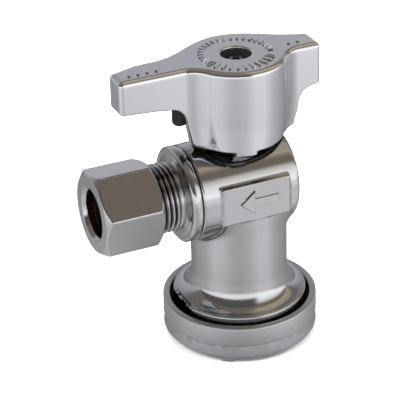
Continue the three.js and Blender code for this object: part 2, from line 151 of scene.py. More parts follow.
class VALVE_PG_inlet(bpy.types.PropertyGroup):
    """Sizes of the push-on inlet."""

    collar: length("Collar radius", "Outside radius of the release collar", 16.1)
    collar_bore: length("Collar bore", "Inside radius of the release collar", 14.65)
    rim: length("Collar rim", "Height of the collar's rim", 8.4)
    foot: length("Foot height", "Height of the collar's feet", 1)
    teeth: IntProperty(name="Teeth", description="Teeth of the grab ring", default=12, min=6)


class VALVE_PG_finish(bpy.types.PropertyGroup):
    """Colours and finishes."""

    chrome: colour("Chrome", "Bright plating", (0.56, 0.56, 0.575))
    satin: colour("Satin chrome", "Plating on the lever and collar", (0.6, 0.6, 0.625))
    brass: colour("Brass", "Machined brass", (0.62, 0.4, 0.16))
    tarnish: colour("Tarnished brass", "Brass inside the nut", (0.17, 0.075, 0.045))
    steel: colour("Steel", "Stainless steel", (0.5, 0.49, 0.48))
    dark_steel: colour("Dark steel", "Screw", (0.36, 0.35, 0.34))
    # Near-black painted shade on the cast metal inside and under the lever, where shade falls.
    casting: colour("Casting", "Unplated casting inside and under the lever", (0.02, 0.02, 0.022))
    collar: colour("Collar", "Plating on the release collar", (0.58, 0.58, 0.6))
    ptfe: colour("Seat", "White seat rings", (0.86, 0.85, 0.81))
    rubber: colour("Rubber", "Sealing rings", (0.012, 0.012, 0.013))
    acetal: colour("Acetal", "Moulded grey rings", (0.33, 0.34, 0.35))
    gloss: share("Chrome roughness", "Roughness of the bright plating", 0.11)
    satin_gloss: share("Satin roughness", "Roughness of the satin plating", 0.3)
    wear: share("Wear", "Strength of scratches and worn edges", 0.35)


class VALVE_PG_stage(bpy.types.PropertyGroup):
    """Camera and light."""

    azimuth: angle("Azimuth", "Turn of the camera about the valve", -25.06)
    elevation: angle("Elevation", "Height of the camera above the floor", 28.46)
    roll: angle("Roll", "Tilt of the camera about its own axis", -0.892)
    distance: length("Distance", "Distance from the camera to its target", 390.58)
    target: length("Target height", "Height of the camera's target on the stem's axis", 31)
    lens: FloatProperty(name="Lens", description="Focal length", default=171.33, unit="CAMERA")
    floor: colour("Floor", "Colour of the floor", (0.93, 0.93, 0.93))


GROUPS = {
    "valve_body": VALVE_PG_body,
    "valve_lever": VALVE_PG_lever,
    "valve_outlet": VALVE_PG_outlet,
    "valve_inlet": VALVE_PG_inlet,
    "valve_finish": VALVE_PG_finish,
    "valve_stage": VALVE_PG_stage,
}


def sizes_of(group):
    """A group's lengths in millimetres, and its other values as they are."""
    values = {}
    for prop in group.bl_rna.properties:
        if prop.identifier in ("rna_type", "name"):
            continue
        value = getattr(group, prop.identifier)
        values[prop.identifier] = value / MM if prop.unit == "LENGTH" else value
    return SimpleNamespace(**values)


# ---------- fields of signed distance ----------
FAR = 1e9
TINY = 1e-9
# A grid's points are pulled onto the field a few times, along slopes that are measured over a short reach.
PULLS = 3
PULL_REACH = 0.02
FLATTEST = 0.25
NORMAL_REACH = 0.04


def joined(a, b, fillet=0.0):
    """Both fields together, with a fillet where they meet."""
    bend = np.hypot(np.maximum(fillet - a, 0), np.maximum(fillet - b, 0))
    return np.maximum(fillet, np.minimum(a, b)) - bend


def shared(a, b, edge=0.0):
    """Where both fields are solid, with a rounded edge where they meet."""
    if edge == 0:
        return np.maximum(a, b)
    bend = np.hypot(np.maximum(edge + a, 0), np.maximum(edge + b, 0))
    return np.minimum(-edge, np.maximum(a, b)) + bend


def without(a, b, edge=0.0):
    """The first field less the second."""
    return shared(a, -b, edge)


def between(value, low, high):
    """A slab from low to high."""
    return np.maximum(low - value, value - high)


def disc(radius, height, size, low, high, edge=0.0):
    """A cylinder of a radius and a height range."""
    return shared(radius - size, between(height, low, high), edge)


def block(x, y, z, low, high, edge=0.0):
    """A box between two corners."""
    sides = shared(between(x, low[0], high[0]), between(y, low[1], high[1]), edge)
    return shared(sides, between(z, low[2], high[2]), edge)


def wedge(x, y, middle, half):
    """The part of the plane within an angle of a direction, both in degrees."""
    turn = math.radians(middle)
    along = x * math.cos(turn) + y * math.sin(turn)
    across = y * math.cos(turn) - x * math.sin(turn)
    return np.abs(across) * math.cos(math.radians(half)) - along * math.sin(math.radians(half))


def outline(x, y, points):
    """The field of a closed outline in the plane of x and y."""
    corners = np.array(points, float)
    x, y = np.broadcast_arrays(x, y)
    nearest = np.full(x.shape, FAR, np.float32)
    inside = np.zeros(x.shape, bool)
    for (ax, ay), (bx, by) in zip(corners, np.roll(corners, -1, axis=0)):
        ex, ey = bx - ax, by - ay
        wx, wy = x - ax, y - ay
        along = np.clip((wx * ex + wy * ey) / (ex * ex + ey * ey), 0, 1)
        nearest = np.minimum(nearest, (wx - ex * along) ** 2 + (wy - ey * along) ** 2)
        crosses = (ay <= y) != (by <= y)
        if ey != 0:
            inside ^= crosses & (wx < ex * wy / ey)
    return np.sqrt(nearest) * np.where(inside, -1, 1)


def arc(x, y, size, start, end, steps=12, tall=None):
    """Points of an arc about (x, y), in degrees; a second size makes it part of an ellipse."""
    turns = np.radians(np.linspace(start, end, steps + 1))
    return [(x + size * math.cos(t), y + (size if tall is None else tall) * math.sin(t)) for t in turns]


def curve(start, middle, end, steps=10):
    """Points of a curve between two points, drawn towards a third."""
    a, b, c = (np.array(point, float) for point in (start, middle, end))
    shares = np.linspace(0, 1, steps + 1)
    return [tuple((1 - t) ** 2 * a + 2 * t * (1 - t) * b + t * t * c) for t in shares]


def slope(field, points, reach):
    """The field's gradient at each point."""
    gradient = np.empty_like(points)
    for axis in range(3):
        step = np.zeros(3)
        step[axis] = reach
        gradient[:, axis] = (field(*(points + step).T) - field(*(points - step).T)) / (2 * reach)
    return gradient


def surface_of(field, low, high, step):
    """Points, square faces and normals of a field's surface, drawn on a grid and pulled onto the field."""
    start = np.array(low, float) - 2 * step
    counts = np.ceil((np.array(high) - start) / step + 3).astype(int)
    axes = [(start[i] + step * np.arange(counts[i])).astype(np.float32) for i in range(3)]
    x, y, z = np.ix_(*axes)
    values = np.ascontiguousarray(np.broadcast_to(field(x, y, z), counts), np.float32)
    band = 4 * step
    grid = openvdb.FloatGrid(band)
    grid.copyFromArray(np.clip(values, -band, band))
    points, quads = grid.convertToQuads()
    points = points.astype(float) * step + start
    for _ in range(PULLS):
        value = field(*points.T)
        gradient = slope(field, points, PULL_REACH)
        move = gradient * (value / np.maximum((gradient**2).sum(1), FLATTEST))[:, None]
        far = np.maximum(np.linalg.norm(move, axis=1) / (0.5 * step), 1)
        points -= move / far[:, None]
    normals = slope(field, points, NORMAL_REACH)
    normals /= np.maximum(np.linalg.norm(normals, axis=1), TINY)[:, None]
    return points, quads.astype(np.int64), normals


# ---------- meshes ----------
POLE = 1e-6  # a turned profile's point nearer the axis than this is a pole


def skin(name, field, low, high, step):
    """The mesh of a field's surface."""
    points, quads, normals = surface_of(field, low, high, step)
    return mesh_from(name, points, quads, normals)


def mesh_from(name, points, faces, normals=None):
    """A smooth mesh in millimetres with its faces pointing out."""
    mesh = bpy.data.meshes.new(name)
    points = np.asarray(points, float)
    if isinstance(faces, np.ndarray):
        first, second, third = (points[faces[:, i]] for i in (0, 1, 2))
        fourth = points[faces[:, -1]]
        volume = np.einsum("ij,ij->", first, np.cross(second, third))
        volume += np.einsum("ij,ij->", first, np.cross(third, fourth))
        if volume < 0:
            faces = faces[:, ::-1]
        mesh.vertices.add(len(points))
        mesh.vertices.foreach_set("co", points.ravel())
        mesh.loops.add(faces.size)
        mesh.loops.foreach_set("vertex_index", faces.ravel())
        mesh.polygons.add(len(faces))
        mesh.polygons.foreach_set("loop_start", np.arange(0, faces.size, faces.shape[1]))
        mesh.update(calc_edges=True)
    else:
        mesh.from_pydata([tuple(point) for point in points], [], [list(face) for face in faces])
    mesh.validate()
    mesh.polygons.foreach_set("use_smooth", np.ones(len(mesh.polygons), bool))
    if normals is not None:
        mesh.normals_split_custom_set_from_vertices([tuple(normal) for normal in normals])
    return mesh


def placed(name, mesh, place, material, body, slot, *nodes):
    """Puts a mesh made in millimetres into the frame as a piece that rides on a body."""
    mesh.transform(Matrix.Scale(MM, 4) @ place)
    mesh.materials.clear()
    mesh.materials.append(bpy.data.materials[material])
    piece = bpy.data.objects.new(name, mesh)
    bpy.context.scene.collection.objects.link(piece)
    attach(piece, body)
    if nodes:
        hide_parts(*nodes)
    return piece


def rounded(profile, edge, steps=3):
    """A closed profile with each corner rounded by up to a radius; poles and nearly flat corners stay."""
    points = [np.array(point, float) for point in profile]
    smooth = []
    for i, corner in enumerate(points):
        before, after = points[i - 1] - corner, points[(i + 1) % len(points)] - corner
        space = min(np.linalg.norm(before), np.linalg.norm(after))
        before, after = before / np.linalg.norm(before), after / np.linalg.norm(after)
        half = 0.5 * math.acos(max(-1, min(1, float(before @ after))))
        if corner[0] < POLE or half > math.radians(84):
            smooth.append(tuple(corner))
            continue
        back = min(edge / math.tan(half), 0.45 * space)
        smooth += curve(corner + before * back, corner, corner + after * back, steps)
    return smooth


def sharpened(mesh, degrees=50):
    """Keeps real corners crisp on a smooth mesh."""
    mesh.set_sharp_from_angle(angle=math.radians(degrees))
    return mesh


def lathe(name, profile, segments=128):
    """A closed turned mesh about Z from a closed (radius, height) profile; points at radius 0 are poles."""
    points = []
    rows = []
    for radius, height in profile:
        if radius < POLE:
            rows.append([len(points)] * segments)
            points.append((0, 0, height))
            continue
        rows.append(list(range(len(points), len(points) + segments)))
        turns = 2 * math.pi * np.arange(segments) / segments
        points += [(radius * math.cos(t), radius * math.sin(t), height) for t in turns]
    faces = []
    for i, row in enumerate(rows):
        above = rows[(i + 1) % len(rows)]
        if profile[i][0] < POLE and profile[(i + 1) % len(rows)][0] < POLE:
            continue
        for j in range(segments):
            k = (j + 1) % segments
            corners = [row[j], row[k], above[k], above[j]]
            faces.append([c for n, c in enumerate(corners) if c != corners[n - 1]])
    area = sum(a[0] * b[1] - b[0] * a[1] for a, b in zip(profile, profile[1:] + profile[:1]))
    if area < 0:
        faces = [face[::-1] for face in faces]
    return sharpened(mesh_from(name, points, faces))


def torus(radius, section, height, steps=28):
    """The profile of an O-ring."""
    return arc(radius, height, section, 0, 360 * (1 - 1 / steps), steps - 1)


# ---------- node trees ----------
class Nodes:
    """A node tree that is written one node at a time."""

    def __init__(self, tree):
        self.tree = tree

    def add(self, kind, *links, **settings):
        """Adds a node and feeds its sockets in order, where None leaves a socket alone.

        A keyword with a capital feeds the socket of that name, and any other sets a property.
        """
        node = self.tree.nodes.new(kind)
        named = {key: settings.pop(key) for key in list(settings) if key[0].isupper()}
        for key, value in settings.items():
            setattr(node, key, value)
        sockets = [socket for socket in node.inputs if socket.enabled]
        for socket, link in zip(sockets, links):
            self.feed(socket, link)
        for key, link in named.items():
            self.feed(node.inputs[key.replace("_", " ")], link)
        return node

    def feed(self, socket, link):
        """Links a socket to an output, or sets its value."""
        if link is None:
            return
        if isinstance(link, bpy.types.NodeSocket):
            self.tree.links.new(link, socket)
        elif isinstance(link, bpy.types.Node):
            self.tree.links.new(next(o for o in link.outputs if o.enabled), socket)
        else:
            socket.default_value = link

    def math(self, operation, *links, clamp=False):
        """A Math node."""
        return self.add("ShaderNodeMath", *links, operation=operation, use_clamp=clamp)


# ---------- Geometry Nodes ----------
class Tree(Nodes):
    """A Geometry Nodes tree with named inputs for its sizes."""

    def __init__(self, name, **inputs):
        super().__init__(bpy.data.node_groups.new(name, "GeometryNodeTree"))
        self.sockets = {}
        self.tree.interface.new_socket("Geometry", in_out="INPUT", socket_type="NodeSocketGeometry")
        self.tree.interface.new_socket("Geometry", in_out="OUTPUT", socket_type="NodeSocketGeometry")
        for label, value in inputs.items():
            kind = "NodeSocketInt" if isinstance(value, int) else "NodeSocketFloat"
            socket = self.tree.interface.new_socket(label, in_out="INPUT", socket_type=kind)
            self.sockets[label] = (socket.identifier, value)
        self.inputs = self.tree.nodes.new("NodeGroupInput")

    def value(self, label):
        """The output of a named input."""
        return self.inputs.outputs[label]

    def finish(self, geometry, material):
        """Ends the tree with real geometry in one material."""
        real = self.add("GeometryNodeRealizeInstances", geometry)
        painted = self.add("GeometryNodeSetMaterial", real)
        painted.inputs["Material"].default_value = bpy.data.materials[material]
        end = self.tree.nodes.new("NodeGroupOutput")
        self.tree.links.new(painted.outputs["Geometry"], end.inputs["Geometry"])

    def apply(self, mesh, **changes):
        """The mesh that the tree makes of another mesh, with some of its inputs changed."""
        holder = bpy.data.objects.new(self.tree.name, mesh)
        bpy.context.scene.collection.objects.link(holder)
        modifier = holder.modifiers.new("Nodes", "NODES")
        modifier.node_group = self.tree
        for label, (identifier, value) in self.sockets.items():
            modifier[identifier] = changes.get(label, value)
        graph = bpy.context.evaluated_depsgraph_get()
        result = bpy.data.meshes.new_from_object(holder.evaluated_get(graph), depsgraph=graph)
        holder.modifiers.clear()
        bpy.data.objects.remove(holder)
        return result


THREAD_RISE = 1.22  # how soon a flank reaches its full height, which leaves the crests flat


def thread_tree(material, **sizes):
    """Cuts a right-handed thread into the outside of a blank that was turned about Z."""
    tree = Tree("Cut thread", **sizes)
    place = tree.add("ShaderNodeSeparateXYZ", tree.add("GeometryNodeInputPosition"))
    x, y, z = place.outputs
    squares = tree.math("ADD", tree.math("MULTIPLY", x, x), tree.math("MULTIPLY", y, y))
    radius = tree.math("POWER", squares, 0.5)
    turn = tree.math("DIVIDE", tree.math("ARCTAN2", y, x), 2 * math.pi)
    phase = tree.math("FRACT", tree.math("SUBTRACT", tree.math("DIVIDE", z, tree.value("Pitch")), turn))
    ridge = tree.math("SUBTRACT", 1.0, tree.math("ABSOLUTE", tree.math("MULTIPLY_ADD", phase, 2.0, -1.0)))
    flat = tree.math("MINIMUM", tree.math("MULTIPLY", ridge, THREAD_RISE), 1.0)
    below = tree.math("SUBTRACT", 1.0, flat)
    fade = tree.add("ShaderNodeMapRange", z, tree.value("Start"),
                    tree.math("ADD", tree.value("Start"), tree.value("Fade")), 0.0, 1.0,
                    interpolation_type="SMOOTHSTEP")
    depth = tree.math("MULTIPLY", tree.math("MULTIPLY", tree.value("Depth"), below), fade)
    target = tree.math("MINIMUM", radius, tree.math("SUBTRACT", tree.value("Crest"), depth))
    scale = tree.math("DIVIDE", target, radius)
    new_place = tree.add("ShaderNodeCombineXYZ", tree.math("MULTIPLY", x, scale),
                         tree.math("MULTIPLY", y, scale), z)
    root = tree.math("SUBTRACT", tree.value("Crest"), tree.value("Depth"))
    outside = tree.math("GREATER_THAN", radius, root)
    beyond = tree.math("GREATER_THAN", z, tree.value("Start"))
    moved = tree.add("GeometryNodeSetPosition", tree.value("Geometry"))
    tree.feed(moved.inputs["Selection"], tree.math("MULTIPLY", outside, beyond))
    tree.feed(moved.inputs["Position"], new_place)
    # Stores how deep each point lies in the groove, which the material uses to paint shade in the roots.
    stored = tree.add("GeometryNodeStoreNamedAttribute", moved, data_type="FLOAT", domain="POINT")
    stored.inputs["Name"].default_value = "groove"
    groove = tree.math("MULTIPLY", tree.math("MULTIPLY", below, fade), outside)
    tree.feed(next(i for i in stored.inputs if i.name == "Value" and i.enabled), groove)
    tree.finish(stored, material)
    return tree


def stroke(tree, long, wide, high, edge):
    """A flat bar with round corners that lies along X, as a node of a tree."""
    shape = tree.add("GeometryNodeCurvePrimitiveQuadrilateral", Width=long, Height=wide)
    bent = tree.add("GeometryNodeFilletCurve", shape, mode="POLY", Radius=edge, Count=4)
    face = tree.add("GeometryNodeFillCurve", bent, mode="NGONS")
    solid = tree.add("GeometryNodeExtrudeMesh", face)
    tree.feed(solid.inputs["Offset Scale"], high)
    bottom = tree.add("GeometryNodeFlipFaces", face)
    both = tree.add("GeometryNodeJoinGeometry")
    tree.tree.links.new(bottom.outputs[0], both.inputs[0])
    tree.tree.links.new(solid.outputs["Mesh"], both.inputs[0])
    return tree.add("GeometryNodeMergeByDistance", both, Distance=0.001)


def spoke_tree(name, material, **sizes):
    """Bars set round an arc, each pointing to its centre."""
    tree = Tree(name, **sizes)
    bar = stroke(tree, tree.value("Long"), tree.value("Wide"), tree.value("High"), tree.value("Edge"))
    line = tree.add("GeometryNodeMeshLine")
    tree.feed(line.inputs["Count"], tree.value("Count"))
    line.inputs["Offset"].default_value = (0, 0, 0)
    step = tree.math("MULTIPLY", tree.add("GeometryNodeInputIndex"), tree.value("Step"))
    turn = tree.math("ADD", tree.value("First"), step)
    x, y = (tree.math("MULTIPLY", tree.value("Radius"), tree.math(part, turn)) for part in ("COSINE", "SINE"))
    place = tree.add("ShaderNodeCombineXYZ", x, y, tree.value("Level"))
    points = tree.add("GeometryNodeSetPosition", line)
    tree.feed(points.inputs["Position"], place)
    spin = tree.add("ShaderNodeCombineXYZ", 0.0, 0.0, turn)
    bars = tree.add("GeometryNodeInstanceOnPoints", points)
    tree.feed(bars.inputs["Instance"], bar)
    tree.feed(bars.inputs["Rotation"], spin)
    tree.finish(bars, material)
    return tree


def empty_mesh(name):
    """A mesh with nothing in it, for a tree that makes its own."""
    return bpy.data.meshes.new(name)


# ---------- shader node groups ----------
class Shader(Nodes):
    """Nodes of a material, a shader group or the sky."""

    def span(self, value, low, high, to_low=0.0, to_high=1.0):
        """A value's range stretched to another, and clamped."""
        return self.add("ShaderNodeMapRange", value, low, high, to_low, to_high)

    def noise(self, place, scale, detail=2.0, roughness=0.5):
        """A noise texture's value."""
        return self.add("ShaderNodeTexNoise", Vector=place, Scale=scale, Detail=detail,
                        Roughness=roughness).outputs[0]


def shader_group(name, inputs, outputs):
    """An empty shader group with float inputs and outputs."""
    tree = bpy.data.node_groups.new(name, "ShaderNodeTree")
    for label, value in inputs.items():
        socket = tree.interface.new_socket(label, in_out="INPUT", socket_type="NodeSocketFloat")
        socket.default_value = value
    for label in outputs:
        tree.interface.new_socket(label, in_out="OUTPUT", socket_type="NodeSocketFloat")
    nodes = Shader(tree)
    start = nodes.add("NodeGroupInput")
    place = nodes.add("ShaderNodeTexCoord").outputs["Object"]
    return nodes, start, place


def close_group(nodes, **results):
    """Feeds a group's outputs."""
    end = nodes.add("NodeGroupOutput")
    for label, result in results.items():
        nodes.feed(end.inputs[label], result)


def build_plating_group():
    """Height of plated metal: a slow orange-peel swell and a fine grain."""
    inputs = {"Swell": 240.0, "Grain": 2600.0, "Grain Share": 0.2}
    nodes, start, place = shader_group("Plating", inputs, ["Height"])
    swell = nodes.noise(place, start.outputs["Swell"], 1.0)
    grain = nodes.noise(place, start.outputs["Grain"], 3.0, 0.6)
    close_group(nodes, Height=nodes.math("MULTIPLY_ADD", grain, start.outputs["Grain Share"], swell))


SCRATCH_TURNS = ((0.3, 0.2, 0.4), (1.3, 0.9, 2.1), (2.2, 1.7, 0.9))
SCRATCH_STRETCH = 0.045


def build_scratch_group():
    """A mask of fine scratches that run in three directions."""
    nodes, start, place = shader_group("Scratches", {"Density": 0.5, "Scale": 900.0}, ["Mask"])
    total = None
    for turn in SCRATCH_TURNS:
        turned = nodes.add("ShaderNodeMapping", place, Rotation=turn, Scale=(1.0, SCRATCH_STRETCH, 1.0))
        lines = nodes.noise(turned, start.outputs["Scale"], 1.0)
        mask = nodes.span(lines, 0.69, 0.74)
        total = mask if total is None else nodes.math("MAXIMUM", total, mask)
    patches = nodes.span(nodes.noise(place, 90.0, 2.0), 0.45, 0.7)
    patchy = nodes.math("MULTIPLY", total, patches)
    close_group(nodes, Mask=nodes.math("MULTIPLY", patchy, start.outputs["Density"]))


def build_haze_group():
    """A mask of handling haze and dried spots."""
    nodes, start, place = shader_group("Haze", {"Scale": 110.0, "Spots": 0.4}, ["Mask"])
    film = nodes.span(nodes.noise(place, start.outputs["Scale"], 4.0, 0.65), 0.42, 0.72)
    dots = nodes.span(nodes.noise(place, 1300.0, 1.0), 0.66, 0.72)
    close_group(nodes, Mask=nodes.math("MULTIPLY_ADD", dots, start.outputs["Spots"], film, clamp=True))


def build_edge_group():
    """Masks of rubbed outer edges, and of inner corners, whose darkening is partly dirt held there and partly
    painted shade.
    """
    nodes, start, place = shader_group("Edges", {"Reach": 0.03}, ["Worn", "Dirty"])
    point = nodes.add("ShaderNodeNewGeometry").outputs["Pointiness"]
    broken = nodes.span(nodes.noise(place, 700.0, 3.0), 0.35, 0.65)
    ridge, hollow = 0.52, 0.48
    high = nodes.math("ADD", ridge, start.outputs["Reach"])
    low = nodes.math("SUBTRACT", hollow, start.outputs["Reach"])
    worn = nodes.math("MULTIPLY", nodes.span(point, ridge, high), broken)
    dirt_and_shade = nodes.math("MULTIPLY", nodes.span(point, hollow, low), broken)
    close_group(nodes, Worn=worn, Dirty=dirt_and_shade)


GROUP_BUILDERS = (build_plating_group, build_scratch_group, build_haze_group, build_edge_group)


def new_material(name):
    """An empty material, its nodes and its shader."""
    material = bpy.data.materials.new(name)
    material.use_nodes = True
    material.node_tree.nodes.clear()
    nodes = Shader(material.node_tree)
    end = nodes.add("ShaderNodeOutputMaterial")
    shader = nodes.add("ShaderNodeBsdfPrincipled")
    nodes.tree.links.new(shader.outputs[0], end.inputs["Surface"])
    return nodes, shader


def placed_group(nodes, name, **values):
    """A shader group placed in a material with its own values."""
    group = nodes.add("ShaderNodeGroup", node_tree=bpy.data.node_groups[name])
    for label, value in values.items():
        nodes.feed(group.inputs[label.replace("_", " ")], value)
    return group.outputs


def blend(nodes, amount, first, second):
    """A mix of two colours."""
    mix = nodes.add("ShaderNodeMix", data_type="RGBA")
    for socket, link in zip((mix.inputs[0], mix.inputs[6], mix.inputs[7]), (amount, first, second)):
        nodes.feed(socket, (*link, 1) if isinstance(link, tuple) else link)
    return mix.outputs[2]


def shaded(tint, amount):
    """A colour made darker or lighter."""
    return tuple(min(1, part * amount) for part in tint)


# Painted shade in the roots of a cut thread.
GROOVE_SHADE = (0.02, 0.018, 0.016)


def metal(name, tint, roughness, wear, swell, grain, bump, grooved=False):
    """A plated or machined metal with haze, scratches, rubbed edges, dirt and painted shade in its corners,
    and painted shade in the roots of a thread when grooved.
    """
    nodes, shader = new_material(name)
    tint = tuple(tint)
    shader.inputs["Metallic"].default_value = 1
    haze = placed_group(nodes, "Haze")["Mask"]
    scratches = placed_group(nodes, "Scratches", Density=wear)["Mask"]
    edges = placed_group(nodes, "Edges")
    height = placed_group(nodes, "Plating", Swell=swell, Grain_Share=grain)["Height"]
    worn = blend(nodes, nodes.math("MULTIPLY", edges["Worn"], wear), tint, shaded(tint, 1.12))
    hazed = blend(nodes, nodes.math("MULTIPLY", haze, 0.25), worn, shaded(tint, 0.9))
    # Inner corners darkened: partly dirt, partly painted shade.
    dirt_and_shade = blend(nodes, nodes.math("MULTIPLY", edges["Dirty"], 0.5), hazed, shaded(tint, 0.35))
    if grooved:
        # Painted shade darkens the thread's roots, where the groove is deepest.
        groove = nodes.add("ShaderNodeAttribute", attribute_name="groove").outputs["Fac"]
        dirt_and_shade = blend(nodes, nodes.span(groove, 0.2, 0.8, 0.0, 0.97), dirt_and_shade, GROOVE_SHADE)
    nodes.feed(shader.inputs["Base Color"], dirt_and_shade)
    rough = nodes.math("MULTIPLY_ADD", haze, 0.45 * roughness, roughness)
    rough = nodes.math("MULTIPLY_ADD", scratches, 0.25, rough)
    rough = nodes.math("MULTIPLY_ADD", edges["Dirty"], 0.25, rough, clamp=True)
    nodes.feed(shader.inputs["Roughness"], rough)
    lift = nodes.math("MULTIPLY_ADD", scratches, -0.3, height)
    raised = nodes.add("ShaderNodeBump", Strength=bump, Distance=0.06 * MM, Height=lift)
    nodes.feed(shader.inputs["Normal"], raised.outputs["Normal"])


def dull(name, tint, roughness, scale, bump, spread):
    """A moulded, rubber or cast surface with a fine grain and uneven colour."""
    nodes, shader = new_material(name)
    tint = tuple(tint)
    haze = placed_group(nodes, "Haze", Scale=scale * 0.1)["Mask"]
    height = placed_group(nodes, "Plating", Swell=scale, Grain_Share=0.6)["Height"]
    uneven = blend(nodes, haze, shaded(tint, 1 - spread), shaded(tint, 1 + spread))
    nodes.feed(shader.inputs["Base Color"], uneven)
    nodes.feed(shader.inputs["Roughness"], nodes.math("MULTIPLY_ADD", haze, 0.18, roughness, clamp=True))
    raised = nodes.add("ShaderNodeBump", Strength=bump, Distance=0.05 * MM, Height=height)
    nodes.feed(shader.inputs["Normal"], raised.outputs["Normal"])


# ---------- stage ----------
CAMERA_SHIFT = (-0.095, -0.0152)
CAMERA_NEAR = 10  # millimetres, as the floor's sizes and the lights' target are
# Light by height in degrees, from the floor on the camera's side, over the top, to the back wall.
LEFT_BANDS = (
    (-30, (0.8, 0.8, 0.82)), (-18, (1.2, 1.2, 1.2)), (13, (1.3, 1.3, 1.32)), (21, (0.14, 0.13, 0.14)),
    (52, (0.13, 0.12, 0.11)), (66, (0.24, 0.2, 0.16)), (104, (0.25, 0.21, 0.17)),
)
RIGHT_BANDS = (
    (-30, (1.0, 1.0, 1.0)), (-6, (1.4, 1.4, 1.4)), (8, (1.5, 1.5, 1.5)), (26, (1.2, 1.2, 1.2)),
    (38, (0.8, 0.76, 0.7)), (45, (0.24, 0.205, 0.17)), (60, (0.24, 0.2, 0.155)),
    (71, (0.56, 0.49, 0.37)), (100, (0.5, 0.43, 0.32)), (114, (0.24, 0.22, 0.2)),
)
BACK_BANDS = (
    (130, (0.2, 0.19, 0.19)), (143, (0.36, 0.355, 0.37)), (153, (0.47, 0.465, 0.5)), (180, (0.6, 0.6, 0.64)),
)
# The left bands give way to the right ones as a view's direction points this much to the right.
BAND_CHANGE = (0.08, 0.3)
# The floor's painted light by turn in degrees from the camera, and by distance in millimetres from the stem:
# brighter patches to the front left and front right, darker straight in front, darkest behind as the valve's
# painted shadow, and darker near the stem as a painted contact shadow.
FLOOR_ROUND = (
    (-180, 0.12), (-142, 0.24), (-118, 0.36), (-103, 0.47), (-76, 0.57), (-54, 0.76), (-34, 0.72),
    (-13, 0.58), (0, 0.55), (20, 0.61), (43, 0.8), (64, 0.8), (88, 0.56), (119, 0.4), (180, 0.12),
)
FLOOR_OUTWARD = (
    (16, 0.44), (28, 0.69), (45, 0.83), (60, 0.81), (75, 0.82), (95, 0.76), (130, 0.79), (200, 1.0),
)
FLOOR_REACH = FLOOR_OUTWARD[-1][0]
FLOOR_BLUE = 1.015
FLOOR_GLOW = 1.3
FLOOR_HALF = 3000
FLOOR_LEVEL = -0.02
# Name, turn and height in degrees, size in metres and power of each lamp, and their distance in metres.
STUDIO_LIGHTS = (
    ("key_left", -75, 48, (0.42, 0.5), 9.0),
    ("key_right", 38, 52, (0.34, 0.42), 6.0),
    ("top", 170, 72, (0.7, 0.7), 10.0),
)
LIGHT_DISTANCE = 0.9
LIGHT_TARGET = 30


class VALVE_OT_stage(bpy.types.Operator):
    """Makes the camera, the floor and the soft studio light"""

    bl_idname = "valve.stage"
    bl_label = "Stage"

    def execute(self, context):
        settings = context.scene.valve_stage
        add_camera(settings)
        add_floor(settings)
        add_sky(settings)
        add_lights()
        context.scene.view_settings.view_transform = "Standard"
        return {"FINISHED"}


def direction(turn, lift):
    """The way from the valve at a turn from its front, to the right, and a height, in radians."""
    return Vector((math.sin(turn) * math.cos(lift), -math.cos(turn) * math.cos(lift), math.sin(lift)))


def add_camera(settings):
    """A long-lens camera that looks down at the valve from its left front."""
    turn = settings.azimuth
    back = direction(turn, settings.elevation)
    level = Vector((math.cos(turn), math.sin(turn), 0))
    upright = back.cross(level)
    right = level * math.cos(settings.roll) + upright * math.sin(settings.roll)
    up = upright * math.cos(settings.roll) - level * math.sin(settings.roll)
    data = bpy.data.cameras.new("camera")
    data.lens = settings.lens
    data.shift_x, data.shift_y = CAMERA_SHIFT
    data.clip_start = CAMERA_NEAR * MM
    camera = bpy.data.objects.new("camera", data)
    place = Vector((STEM_X * MM, 0, settings.target)) + back * settings.distance
    camera.matrix_world = Matrix.Translation(place) @ Matrix((right, up, back)).transposed().to_4x4()
    bpy.context.scene.collection.objects.link(camera)
    bpy.context.scene.camera = camera


def dot(nodes, place, way):
    """How far a place lies along a direction."""
    return nodes.add("ShaderNodeVectorMath", place, tuple(way), operation="DOT_PRODUCT").outputs["Value"]


